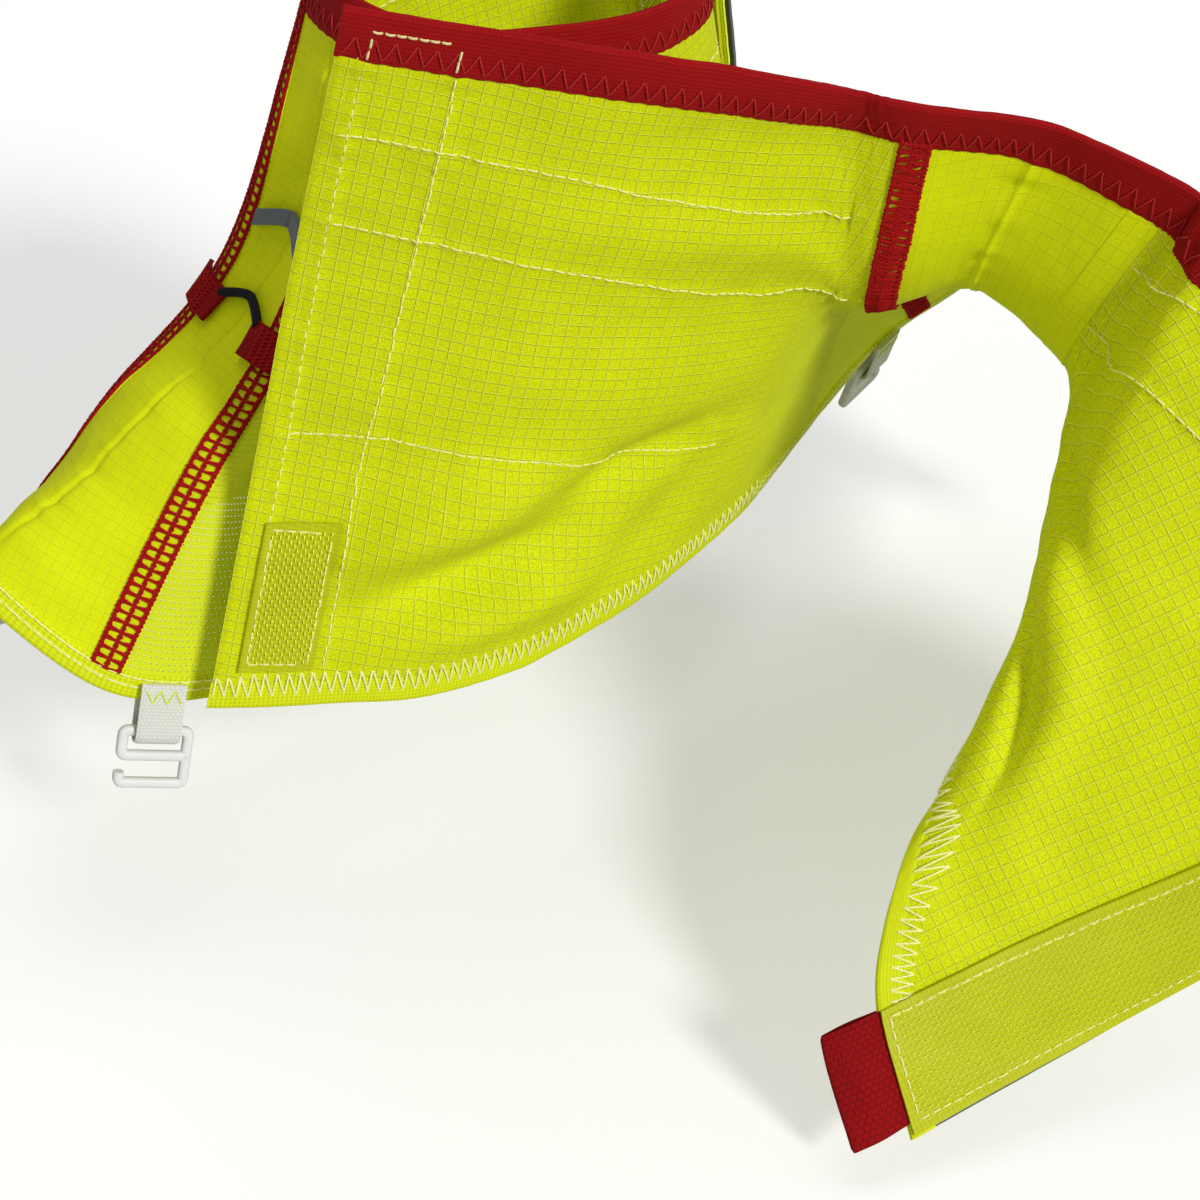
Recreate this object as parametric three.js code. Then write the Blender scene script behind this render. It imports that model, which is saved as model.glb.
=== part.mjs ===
// A pair of rear-opening trail gaiters, one laid open at the heel and one closed.
// Millimetres, +Z up. The origin is on the ground under the ankle of the open gaiter,
// and +Y runs towards its toe. Each gaiter is one curved skin, drawn through a small net
// of ribs that run from hem to top, and every sewn piece is a slab cut from that skin.
import * as THREE from 'three';

// ---- Driving dimensions ----
const RISE = 165;            // height of a flap, hem to top
const NET_RISE = 165;        // height the rib nets are drawn for
const REACH = 150;           // ankle to toe hem
const NET_REACH = 150;       // reach the rib nets are drawn for
const GROUND_TO_HEM = 48;    // rear hem of the closed gaiter above the ground
const HEADING = 237;         // degrees, the way the closed gaiter's toe points, from +X
const CLOSED_AT = new THREE.Vector2(-99, 44);  // ankle of the closed gaiter on the ground

const FABRIC = 1.2;          // wall of every fabric panel
const SEW_GAP = 0.3;         // between two pieces sewn edge to edge
const LAYER_GAP = 0.5;       // between a panel and what is sewn flat on it
const HEM_GAP = 0.5;         // between a panel and its hem or binding
const FOLD_GAP = 0.9;        // open strip along the line where a flap folds
const BINDING_FOLD_GAP = 2.2;  // the same in the thicker binding and hem

const TOP_BINDING = 11;      // height of the elastic top binding
const TOP_BINDING_WALL = 2.0;
const HEM = 6;               // height of the elastic hem
const HEM_WALL = 1.8;
const SEAM = 7;              // width of the covered front seams
const SEAM_WALL = 1.6;

const GUSSET = 42;           // width of the mesh gusset at the hem
const GUSSET_TOP = 0.54;     // where the gusset runs out, as a share of the rise

const LOOP_STRIP = 20;       // width of the loop tape on the under flap
const HOOK_STRIP = 25;       // width of the hook tape on the over flap
const TAPE_WALL = 1.1;
const EDGE_INSET = 3;        // tape edge to the flap's free edge
const HEEL_PATCH = { width: 16, height: 34, above_hem: 3, inset: 5 };
const BACKING = { width: 9, wall: 0.9 };

const PULL_TAB = { width: 25, length: 13, wall: 2.0, gap: 0.9 };
const WEBBING = { width: 10, wall: 1.0, drop: 7, lap: 5 };
const HOOK = { width: 17, height: 15, wall: 2.4, bar: 2.4, slot: 3.6, mouth: 1.8, corner: 2 };
const LACE_HOOK = { width: 11, height: 10, wire: 1.8 };
const LACE_AT = 0.5;         // gap between toe hem and the lace hook's bar
const TAB = { height: 9, inward: 8, outward: 11, wall: 1.0, at: 0.6 };
const ELASTIC = { radius: 1.2, clear: 0.7 };
const ANKLE_BAND = { height: 4, wall: 1.0, at: 0.72, clear: 1 };
const BELOW_SEAM = 15;       // side hook's distance behind the seam

// ---- Rib nets: each rib has its hem, lower, upper and top point ----
const OPEN_RIBS = {
  under_edge: [[-127, -79, 62], [-121, -57, 120], [-112, -46, 171], [-99, -46, 217]],
  under_strip: [[-106, -68, 61], [-103, -49, 118], [-93, -40, 168], [-81, -36, 212]],
  under_middle: [[-86, -53, 59], [-79, -37, 112], [-67, -27, 162], [-53, -24, 207]],
  under_curve: [[-66, -24, 57], [-57, -12, 106], [-45, -6, 154], [-31, -5, 198]],
  under_fold: [[-50, 28, 58], null, null, [-18, 11, 190]],
  under_seam: [[-30, 132, 68], [-27, 98, 96], [-15, 36, 128], [-4, 17, 186]],
  centre: [[0, 150, 84], [0, 112, 104], [4, 44, 132], [20, 29, 181]],
  over_seam: [[30, 132, 68], [27, 98, 96], [25, 38, 124], [46, 31, 173]],
  over_side: [[38, 30, 60], [33, 10, 86], [37, 18, 122], [54, 28, 168]],
  over_fold: [[28, -44, 58], null, null, [62, 26, 163]],
  over_curve: [[26, -60, 53], [52, -28, 86], [72, -2, 114], [84, 26, 154]],
  over_middle: [[26, -70, 45], [60, -36, 68], [88, -8, 98], [108, 26, 133]],
  over_strip: [[29, -80, 32], [72, -43, 46], [106, -12, 74], [138, 26, 98]],
  over_edge: [[41, -90, 9], [87, -40, 26], [125, -7, 45], [159, 27, 62]],
};
// Closed gaiter, half of its ribs: left of the toe line, forward, above the ground.
const CLOSED_RIBS = {
  edge: [[-9, -58, 48], [-9, -50, 98], [-8, -44, 146], [-7, -38, 192]],
  back: [[26, -50, 48], [27, -43, 98], [25, -37, 146], [21, -31, 193]],
  side: [[37, 5, 50], [37, 0, 98], [38, -4, 146], [37, -8, 193]],
  fold: [[36, 68, 53], null, null, [34, 20, 193]],
  seam: [[27, 137, 65], [22, 108, 101], [15, 75, 134], [20, 45, 195]],
  centre: [[0, 154, 85], [0, 113, 106], [0, 70, 138], [0, 50, 196]],
};
const LAP = 3.3;             // how far each closed flap stands from the middle of their lap

const rise = RISE / NET_RISE;
const reach = REACH / NET_REACH;
const ribKnots = [0, 1 / 3, 2 / 3, 1];
const SETTLE = 4;            // passes that settle a patch corner between slanted edges
const FLAP_COLUMNS = 20;     // facets round a flap, its binding and its hem
const SIDE_COLUMNS = 10;
const PANEL_ROWS = 14;       // facets up a flap, a side panel and a tape
const STRIP_COLUMNS = 5;

// ---- Curves and the skin ----
/** A smooth curve through points at uneven knots, with each tangent a weighted slope. */
function through(points, knots, at) {
  const last = knots.length - 2;
  let i = 0;
  while (i < last && at > knots[i + 1]) i += 1;
  const span = knots[i + 1] - knots[i];
  const f = (at - knots[i]) / span;
  const slope = (k) => points[k + 1].clone().sub(points[k])
    .divideScalar(knots[k + 1] - knots[k]);
  const tangent = (k) => {
    if (k === 0) return slope(0);
    if (k === knots.length - 1) return slope(k - 1);
    const before = knots[k] - knots[k - 1];
    const after = knots[k + 1] - knots[k];
    return slope(k - 1).multiplyScalar(after)
      .add(slope(k).multiplyScalar(before))
      .divideScalar(before + after);
  };
  const out = points[i].clone().multiplyScalar(2 * f ** 3 - 3 * f ** 2 + 1);
  out.addScaledVector(tangent(i), (f ** 3 - 2 * f ** 2 + f) * span);
  out.addScaledVector(points[i + 1], -2 * f ** 3 + 3 * f ** 2);
  out.addScaledVector(tangent(i + 1), (f ** 3 - f ** 2) * span);
  return out;
}

/** A gaiter's skin: u runs in mm round it from the under flap, v from hem 0 to top 1. */
class Skin {
  constructor(ribs) {
    this.names = Object.keys(ribs);
    this.ribs = this.names.map((name) => ribs[name]);
    this.knots = [0];
    for (let i = 1; i < this.ribs.length; i += 1) {
      const steps = this.ribs[i].map((p, k) => p.distanceTo(this.ribs[i - 1][k]));
      this.knots.push(this.knots[i - 1] + steps.reduce((a, b) => a + b) / steps.length);
    }
  }

  u(name) {
    return this.knots[this.names.indexOf(name)];
  }

  point(u, v) {
    const rib = ribKnots.map((_, k) => through(this.ribs.map((r) => r[k]), this.knots, u));
    return through(rib, ribKnots, v);
  }

  /** Point, unit tangents and outward normal, with the lengths of a unit step in u and v. */
  frame(u, v) {
    const step = 1e-3;
    const along = this.point(u + step, v).sub(this.point(u - step, v)).divideScalar(2 * step);
    const up = this.point(u, v + step).sub(this.point(u, v - step)).divideScalar(2 * step);
    const normal = up.clone().cross(along).normalize();
    const scale = { u: along.length(), v: up.length() };
    return { at: this.point(u, v), along: along.normalize(), up: up.normalize(), normal, scale };
  }

  /** u that lies mm beyond the station u0 at height v, measured on the cloth. */
  past(u0, v, mm) {
    return u0 + mm / this.frame(u0, v).scale.u;
  }

  /** v that lies mm above the height v0 at u, measured on the cloth. */
  above(u, v0, mm) {
    return v0 + mm / this.frame(u, v0).scale.v;
  }
}

/** A closed slab between two offsets of a skin, over the patch u0..u1 by v0..v1. */
function slab(skin, { u0, u1, v0, v1 }, low, high, nu, nv) {
  const corners = [];
  const normals = [];
  for (let i = 0; i <= nu; i += 1) {
    for (let j = 0; j <= nv; j += 1) {
      let [u, v] = [(u0(0.5) + u1(0.5)) / 2, 0.5];
      for (let pass = 0; pass < SETTLE; pass += 1) {
        v = THREE.MathUtils.lerp(v0(u), v1(u), j / nv);
        u = THREE.MathUtils.lerp(u0(v), u1(v), i / nu);
      }
      const f = skin.frame(u, v);
      corners.push(f.at);
      normals.push(f.normal);
    }
  }
  const layer = (offset) => corners.map((p, k) => p.clone().addScaledVector(normals[k], offset));
  return closedGrid([...layer(low), ...layer(high)], nu, nv);
}

/** Joins two stacked grids of (nu+1) by (nv+1) points into one closed body. */
function closedGrid(points, nu, nv) {
  const row = nv + 1;
  const id = (i, j, top) => (top ? (nu + 1) * row : 0) + i * row + j;
  const index = [];
  const quad = (a, b, c, d) => index.push(a, b, c, a, c, d);
  for (let i = 0; i < nu; i += 1) {
    for (let j = 0; j < nv; j += 1) {
      quad(id(i, j, 0), id(i, j + 1, 0), id(i + 1, j + 1, 0), id(i + 1, j, 0));
      quad(id(i, j, 1), id(i + 1, j, 1), id(i + 1, j + 1, 1), id(i, j + 1, 1));
    }
    quad(id(i, 0, 0), id(i + 1, 0, 0), id(i + 1, 0, 1), id(i, 0, 1));
    quad(id(i + 1, nv, 0), id(i, nv, 0), id(i, nv, 1), id(i + 1, nv, 1));
  }
  for (let j = 0; j < nv; j += 1) {
    quad(id(0, j + 1, 0), id(0, j, 0), id(0, j, 1), id(0, j + 1, 1));
    quad(id(nu, j, 0), id(nu, j + 1, 0), id(nu, j + 1, 1), id(nu, j, 1));
  }
  const geometry = new THREE.BufferGeometry();
  geometry.setAttribute('position',
    new THREE.Float32BufferAttribute(points.flatMap((p) => p.toArray()), 3));
  geometry.setIndex(volume(points, index) < 0 ? index.toReversed() : index);
  geometry.computeVertexNormals();
  return geometry;
}

/** Six times the signed volume inside a triangle list. */
function volume(points, index) {
  let sum = 0;
  for (let k = 0; k < index.length; k += 3) {
    const [a, b, c] = [points[index[k]], points[index[k + 1]], points[index[k + 2]]];
    sum += a.dot(b.clone().cross(c));
  }
  return sum;
}

// ---- Materials ----
const finish = (color, roughness, metalness = 0) =>
  new THREE.MeshStandardMaterial({ color, roughness, metalness });
const FINISHES = {
  ripstop: finish('#d4f000', 0.6),
  stretch: finish('#dcf51a', 0.65),
  mesh: finish('#c8eb00', 0.75),
  red_elastic: finish('#b80f20', 0.8),
  yellow_elastic: finish('#cfe800', 0.75),
  red_thread: finish('#b01020', 0.85),
  loop_tape: finish('#b4c81e', 0.95),
  hook_tape: finish('#aab900', 0.5),
  grey_film: finish('#5a6068', 0.5),
  red_webbing: finish('#b51222', 0.8),
  white_webbing: finish('#f0f0ea', 0.8),
  white_plastic: finish('#e8eae8', 0.45),
  black_elastic: finish('#1c1c20', 0.8),
  grey_elastic: finish('#6a7074', 0.8),
};

// ---- One gaiter ----
const fixed = (value) => () => value;

/** Adds every piece of one gaiter to the group. The sides are named for their flap. */
function gaiter(group, name, skin) {
  const add = (piece, geometry, look) => {
    const mesh = new THREE.Mesh(geometry, FINISHES[look]);
    mesh.name = `${name}_${piece}`;
    group.add(mesh);
  };
  const cloth = (piece, look, area, nu, nv, wall = FABRIC, lift = 0) =>
    add(piece, slab(skin, area, lift - wall / 2, lift + wall / 2, nu, nv), look);
  const aside = (station, mm) => (v) => skin.past(skin.u(station), v, mm);
  const panelFoot = (u) => skin.above(u, 0, HEM + HEM_GAP);
  const panelHead = (u) => skin.above(u, 1, -TOP_BINDING - HEM_GAP);
  const bindingFoot = (u) => skin.above(u, 1, -TOP_BINDING);
  const hemHead = (u) => skin.above(u, 0, HEM);
  const onTop = (wall) => FABRIC / 2 + LAYER_GAP + wall / 2;

  sides(cloth, aside, { panelFoot, panelHead });
  fronts(cloth, aside, { panelFoot, panelHead });
  bindings(cloth, aside, { bindingFoot, hemHead });
  tapes(skin, cloth, aside, { panelFoot, panelHead, onTop });
  pullTab(skin, add, aside);
  tabsAndBands(skin, cloth, add, aside, onTop);
  hooks(skin, add);
}

/** The two ripstop flaps, the side panels in front of them and the mesh gussets. */
function sides(cloth, aside, { panelFoot, panelHead }) {
  const gussetWidth = (v) => GUSSET * Math.max(0, 1 - v / GUSSET_TOP);
  const seamEdge = SEAM / 2 + SEW_GAP;
  for (const [side, way] of [['under', -1], ['over', 1]]) {
    const fold = (mm) => aside(`${side}_fold`, way * mm);
    const edge = aside(`${side}_edge`, 0);
    cloth(`${side}_flap`, 'ripstop',
      { u0: fold(FOLD_GAP / 2), u1: edge, v0: panelFoot, v1: panelHead },
      FLAP_COLUMNS, PANEL_ROWS);
    const beside = (v) => aside(`${side}_seam`, way * (seamEdge + gussetWidth(v)))(v);
    const beyond = (v) => aside(`${side}_seam`, way * (seamEdge + HEM_GAP + gussetWidth(v)))(v);
    cloth(`${side}_side`, 'ripstop',
      { u0: beyond, u1: fold(-FOLD_GAP / 2), v0: panelFoot, v1: panelHead },
      SIDE_COLUMNS, PANEL_ROWS);
    cloth(`${side}_gusset`, 'mesh', {
      u0: aside(`${side}_seam`, way * seamEdge),
      u1: beside,
      v0: panelFoot,
      v1: (u) => THREE.MathUtils.lerp(panelFoot(u), panelHead(u), 0.5),
    }, 4, PANEL_ROWS / 2);
  }
}

/** The two halves of the front panel and the covered seams beside them. */
function fronts(cloth, aside, { panelFoot, panelHead }) {
  for (const [side, way] of [['under', -1], ['over', 1]]) {
    cloth(`${side}_front`, 'stretch', {
      u0: aside('centre', (way * SEW_GAP) / 2),
      u1: aside(`${side}_seam`, -way * (SEAM / 2 + SEW_GAP)),
      v0: panelFoot,
      v1: panelHead,
    }, 4, 14);
    cloth(`${side}_seam`, 'red_thread', {
      u0: aside(`${side}_seam`, -SEAM / 2),
      u1: aside(`${side}_seam`, SEAM / 2),
      v0: panelFoot,
      v1: panelHead,
    }, 1, 16, SEAM_WALL);
  }
}

/** Top binding and hem, each split at the two fold lines so the flaps can turn. */
function bindings(cloth, aside, { bindingFoot, hemHead }) {
  const spans = [
    ['under_', aside('under_edge', 0), aside('under_fold', -BINDING_FOLD_GAP / 2),
      FLAP_COLUMNS],
    ['front_', aside('under_fold', BINDING_FOLD_GAP / 2),
      aside('over_fold', -BINDING_FOLD_GAP / 2), 32],
    ['over_', aside('over_fold', BINDING_FOLD_GAP / 2), aside('over_edge', 0),
      FLAP_COLUMNS],
  ];
  for (const [part, u0, u1, columns] of spans) {
    cloth(`${part}binding`, 'red_elastic',
      { u0, u1, v0: bindingFoot, v1: fixed(1) }, columns, 1, TOP_BINDING_WALL);
    cloth(`${part}hem`, 'yellow_elastic',
      { u0, u1, v0: fixed(0), v1: hemHead }, columns, 1, HEM_WALL);
  }
}

/** Loop tape outside the under flap, hook tape and backing on the over flap, heel patch. */
function tapes(skin, cloth, aside, { panelFoot, panelHead, onTop }) {
  const strip = (side, from, width) => {
    const way = side === 'under' ? 1 : -1;
    return { u0: aside(`${side}_edge`, way * from), u1: aside(`${side}_edge`, way * (from + width)) };
  };
  cloth('loop_strip', 'loop_tape',
    { ...strip('under', EDGE_INSET, LOOP_STRIP), v0: panelFoot, v1: panelHead },
    STRIP_COLUMNS, PANEL_ROWS, TAPE_WALL, onTop(TAPE_WALL));
  cloth('hook_strip', 'hook_tape',
    { ...strip('over', EDGE_INSET, HOOK_STRIP), v0: panelFoot, v1: panelHead },
    STRIP_COLUMNS, PANEL_ROWS, TAPE_WALL, -onTop(TAPE_WALL));
  cloth('edge_backing', 'grey_film',
    { ...strip('over', 0, BACKING.width), v0: panelFoot, v1: panelHead },
    2, PANEL_ROWS, BACKING.wall, onTop(BACKING.wall));
  const patchFoot = (u) => skin.above(u, 0, HEM + HEEL_PATCH.above_hem);
  const patchHead = (u) => skin.above(u, 0, HEM + HEEL_PATCH.above_hem + HEEL_PATCH.height);
  cloth('heel_patch', 'hook_tape',
    { ...strip('under', HEEL_PATCH.inset, HEEL_PATCH.width), v0: patchFoot, v1: patchHead },
    3, 4, TAPE_WALL, -onTop(TAPE_WALL));
}

/** A folded webbing tab that carries the cloth on past the hem at the over flap's corner. */
function pullTab(skin, add, aside) {
  const from = aside('over_edge', -EDGE_INSET - PULL_TAB.width);
  const to = aside('over_edge', -EDGE_INSET);
  const head = (u) => skin.above(u, 0, -PULL_TAB.gap);
  const foot = (u) => skin.above(u, 0, -PULL_TAB.gap - PULL_TAB.length);
  const half = PULL_TAB.wall / 2;
  add('pull_tab',
    slab(skin, { u0: from, u1: to, v0: foot, v1: head }, -half, half, 4, 3), 'red_webbing');
}

/** Red bartacked tabs over the seams, the elastic between them and the ankle band. */
function tabsAndBands(skin, cloth, add, aside, onTop) {
  const lift = SEAM_WALL / 2 + LAYER_GAP + TAB.wall / 2;
  for (const [side, way] of [['under', -1], ['over', 1]]) {
    cloth(`${side}_tab`, 'red_webbing', {
      u0: aside(`${side}_seam`, -way * TAB.inward),
      u1: aside(`${side}_seam`, way * TAB.outward),
      v0: (u) => skin.above(u, TAB.at, -TAB.height / 2),
      v1: (u) => skin.above(u, TAB.at, TAB.height / 2),
    }, 4, 2, TAB.wall, lift);
  }
  add('instep_elastic', acrossFront(skin, ELASTIC), 'black_elastic');
  cloth('ankle_band', 'grey_elastic', {
    u0: aside('under_seam', SEAM / 2 + ANKLE_BAND.clear),
    u1: aside('over_seam', -SEAM / 2 - ANKLE_BAND.clear),
    v0: (u) => skin.above(u, ANKLE_BAND.at, -ANKLE_BAND.height / 2),
    v1: (u) => skin.above(u, ANKLE_BAND.at, ANKLE_BAND.height / 2),
  }, 10, 1, ANKLE_BAND.wall, onTop(ANKLE_BAND.wall));
}

/** A round elastic that lies across the front panel from tab to tab. */
function acrossFront(skin, { radius, clear }) {
  const { at } = TAB;
  const start = skin.past(skin.u('under_seam'), at, TAB.inward + clear);
  const end = skin.past(skin.u('over_seam'), at, -TAB.inward - clear);
  const steps = 16;
  const points = Array.from({ length: steps + 1 }, (_, i) => {
    const f = skin.frame(THREE.MathUtils.lerp(start, end, i / steps), at);
    return f.at.addScaledVector(f.normal, FABRIC / 2 + LAYER_GAP + radius);
  });
  const section = new THREE.Shape().absarc(0, 0, radius, 0, 2 * Math.PI);
  const path = new THREE.CatmullRomCurve3(points);
  return new THREE.ExtrudeGeometry(section, { steps, extrudePath: path, curveSegments: 4 });
}

// ---- Hooks on their webbing ----
/** A frame on the hem: x along it, y outwards and z up the cloth. */
function hemFrame(skin, u) {
  const f = skin.frame(u, 0);
  const z = new THREE.Vector3().crossVectors(f.along, f.normal).normalize();
  return new THREE.Matrix4().makeBasis(f.along, f.normal, z).setPosition(f.at);
}

/** A rounded plate with a closed webbing slot above and an open hook mouth below. */
function hookPlate() {
  const { width, height, wall, bar, slot, mouth, corner } = HOOK;
  const [w, r] = [width / 2, corner];
  const inner = w - bar;
  const lower = -bar - slot - bar;
  const plate = new THREE.Shape();
  plate.moveTo(-w + r, 0).lineTo(w - r, 0).quadraticCurveTo(w, 0, w, -r);
  plate.lineTo(w, lower).lineTo(-inner, lower).lineTo(-inner, -height + bar);
  plate.lineTo(inner, -height + bar).lineTo(inner, lower - mouth);
  plate.lineTo(w, lower - mouth).lineTo(w, -height + r);
  plate.quadraticCurveTo(w, -height, w - r, -height).lineTo(-w + r, -height);
  plate.quadraticCurveTo(-w, -height, -w, -height + r).lineTo(-w, -r);
  plate.quadraticCurveTo(-w, 0, -w + r, 0);
  const slotHole = new THREE.Path();
  slotHole.moveTo(-inner, -bar).lineTo(-inner, -bar - slot);
  slotHole.lineTo(inner, -bar - slot).lineTo(inner, -bar).lineTo(-inner, -bar);
  plate.holes.push(slotHole);
  const geometry = new THREE.ExtrudeGeometry(plate,
    { depth: wall, bevelEnabled: false, curveSegments: 4 });
  return geometry.rotateX(Math.PI / 2).translate(0, wall / 2, 0);
}

/** Webbing folded round a bar below the hem, with a leg sewn on each side of it. */
function webbingLoop(width, barRadius, drop) {
  const inside = Math.max(barRadius, HEM_WALL / 2) + SEW_GAP;
  const outside = inside + WEBBING.wall;
  const profile = new THREE.Shape();
  profile.moveTo(-outside, WEBBING.lap).lineTo(-outside, -drop);
  profile.absarc(0, -drop, outside, Math.PI, 2 * Math.PI, false);
  profile.lineTo(outside, WEBBING.lap).lineTo(inside, WEBBING.lap).lineTo(inside, -drop);
  profile.absarc(0, -drop, inside, 2 * Math.PI, Math.PI, true);
  profile.lineTo(-inside, WEBBING.lap);
  const geometry = new THREE.ExtrudeGeometry(profile,
    { depth: width, bevelEnabled: false, curveSegments: 6 });
  const toHem = new THREE.Matrix4().makeBasis(
    new THREE.Vector3(0, 1, 0), new THREE.Vector3(0, 0, 1), new THREE.Vector3(1, 0, 0));
  return geometry.applyMatrix4(toHem).translate(-width / 2, 0, 0);
}

/** An open wire hook for the laces, bent as a squared C. */
function laceHook() {
  const { width, height, wire } = LACE_HOOK;
  const w = width / 2;
  const hook = new THREE.Shape();
  hook.moveTo(-w, 0).lineTo(w, 0).lineTo(w, -height).lineTo(-w + wire, -height);
  hook.lineTo(-w + wire, -height + wire * 2).lineTo(-w + 2 * wire, -height + wire * 2);
  hook.lineTo(-w + 2 * wire, -height + wire).lineTo(w - wire, -height + wire);
  hook.lineTo(w - wire, -wire).lineTo(-w, -wire);
  const geometry = new THREE.ExtrudeGeometry(hook, { depth: wire, bevelEnabled: false });
  return geometry.rotateX(Math.PI / 2).translate(0, wire / 2, 0);
}

/** Both side hooks and the lace hook, each hung in a webbing loop from the hem. */
function hooks(skin, add) {
  for (const [side, way] of [['under', -1], ['over', 1]]) {
    const u = skin.past(skin.u(`${side}_seam`), 0, way * BELOW_SEAM);
    const place = hemFrame(skin, u);
    const barRadius = Math.hypot(HOOK.wall, HOOK.bar) / 2;
    const barDrop = WEBBING.drop;
    add(`${side}_webbing`,
      webbingLoop(WEBBING.width, barRadius, barDrop).applyMatrix4(place), 'white_webbing');
    add(`${side}_hook`,
      hookPlate().translate(0, 0, -barDrop + HOOK.bar / 2).applyMatrix4(place), 'white_plastic');
  }
  const place = hemFrame(skin, skin.u('centre'));
  const hook = laceHook().translate(0, 0, -LACE_AT);
  add('lace_hook', hook.applyMatrix4(place), 'white_plastic');
}

// ---- Nets to skins ----
/** Scales a rib about the ground and its hem, and fills a straight rib's middle points. */
function rib(points, place) {
  const scaled = points.map((p) => p && place(
    p[0],
    p[1] > 0 ? p[1] * reach : p[1],
    p[2] > GROUND_TO_HEM ? GROUND_TO_HEM + (p[2] - GROUND_TO_HEM) * rise : p[2],
  ));
  return scaled.map((p, k) => p ?? scaled[0].clone().lerp(scaled[3], k / 3));
}

function openSkin() {
  const place = (x, y, z) => new THREE.Vector3(x, y, z);
  const ribs = Object.entries(OPEN_RIBS).map(([name, points]) => [name, rib(points, place)]);
  return new Skin(Object.fromEntries(ribs));
}

/** The closed gaiter is made to the same hand, turned and set down beside the open one. */
function closedSkin() {
  const turn = THREE.MathUtils.degToRad(HEADING);
  const toe = new THREE.Vector2(Math.cos(turn), Math.sin(turn));
  const left = new THREE.Vector2(-toe.y, toe.x);
  const place = (side) => (across, forward, z) => {
    const at = CLOSED_AT.clone().addScaledVector(left, side * across);
    at.addScaledVector(toe, forward);
    return new THREE.Vector3(at.x, at.y, z);
  };
  const lapped = (points, shift) => points.map((p) => p && [p[0], p[1] - shift, p[2]]);
  const ribs = {};
  for (const [side, way, shift] of [['under', 1, -LAP], ['over', -1, LAP]]) {
    const half = Object.entries(CLOSED_RIBS).filter(([name]) => name !== 'centre');
    const order = side === 'under' ? half : half.toReversed();
    for (const [name, points] of order) {
      const moved = name === 'edge' || name === 'back' ? lapped(points, shift) : points;
      ribs[`${side}_${name}`] = rib(moved, place(way));
    }
    if (side === 'under') ribs.centre = rib(CLOSED_RIBS.centre, place(1));
  }
  return new Skin(ribs);
}

const pair = new THREE.Group();
gaiter(pair, 'open', openSkin());
gaiter(pair, 'closed', closedSkin());
export default pair;
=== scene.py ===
"""A pair of rear-opening trail gaiters, one laid open at the heel and one closed.

Each gaiter is one curved skin drawn through a net of ribs. A cloth piece is a patch of
that skin, and its folds, puckers and stitches stand off it along the skin's normal.
Sizes are in millimetres until a mesh is made, and in metres after that.
"""

import logging
from collections.abc import Callable
from dataclasses import dataclass, field
from enum import Enum
from itertools import pairwise

import bpy
import numpy as np
from mathutils import Matrix


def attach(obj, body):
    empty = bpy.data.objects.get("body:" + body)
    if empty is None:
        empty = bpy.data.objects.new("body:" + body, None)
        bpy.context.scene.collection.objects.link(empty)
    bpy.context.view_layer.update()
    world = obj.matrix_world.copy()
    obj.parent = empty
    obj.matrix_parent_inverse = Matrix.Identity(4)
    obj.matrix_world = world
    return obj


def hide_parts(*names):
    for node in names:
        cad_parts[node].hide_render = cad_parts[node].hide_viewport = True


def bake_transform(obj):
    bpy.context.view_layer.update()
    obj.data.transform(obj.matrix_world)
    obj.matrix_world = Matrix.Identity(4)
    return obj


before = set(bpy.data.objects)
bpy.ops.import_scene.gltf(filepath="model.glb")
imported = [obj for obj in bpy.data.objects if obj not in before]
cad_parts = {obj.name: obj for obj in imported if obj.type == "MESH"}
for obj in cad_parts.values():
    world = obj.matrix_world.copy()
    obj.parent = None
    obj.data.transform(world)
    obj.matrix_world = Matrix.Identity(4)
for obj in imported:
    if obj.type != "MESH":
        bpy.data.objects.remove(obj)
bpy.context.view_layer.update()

LOG = logging.getLogger("gaiters")
MM = 0.001
RISE = 165.0                # mm up the skin from the hem, v = 0, to the top, v = 1
STITCH, SHOWN = 2.7, 0.86   # mm from stitch to stitch, and the share of it that shows
FINE_THREAD = 0.19          # radius in mm of the thread of a plain row
LADDER_STEP = 4.4           # mm from rung to rung of the red cover stitch
Array = np.ndarray
Edge = Callable[[Array], Array]
Rib = list[list[float] | None]
Socket = bpy.types.NodeSocket


# ---- Noise, curves and meshes ----
def noise(x: Array, y: Array, seed: int) -> Array:
    """Smooth value noise from -1 to 1: lattice numbers eased between by 3t^2 - 2t^3.

    Args:
        x: First coordinate, in cells of the lattice.
        y: Second coordinate, in cells.
        seed: Number that picks the lattice.

    Returns:
        The noise at every point.
    """
    lattice = np.random.default_rng(seed).uniform(-1, 1, (64, 64))
    i, j = np.floor(x).astype(int), np.floor(y).astype(int)
    fx, fy = x - i, y - j
    fx, fy = fx * fx * (3 - 2 * fx), fy * fy * (3 - 2 * fy)
    at = lambda a, b: lattice[(i + a) % 64, (j + b) % 64]
    low = at(0, 0) * (1 - fx) + at(1, 0) * fx
    return low * (1 - fy) + (at(0, 1) * (1 - fx) + at(1, 1) * fx) * fy


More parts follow.
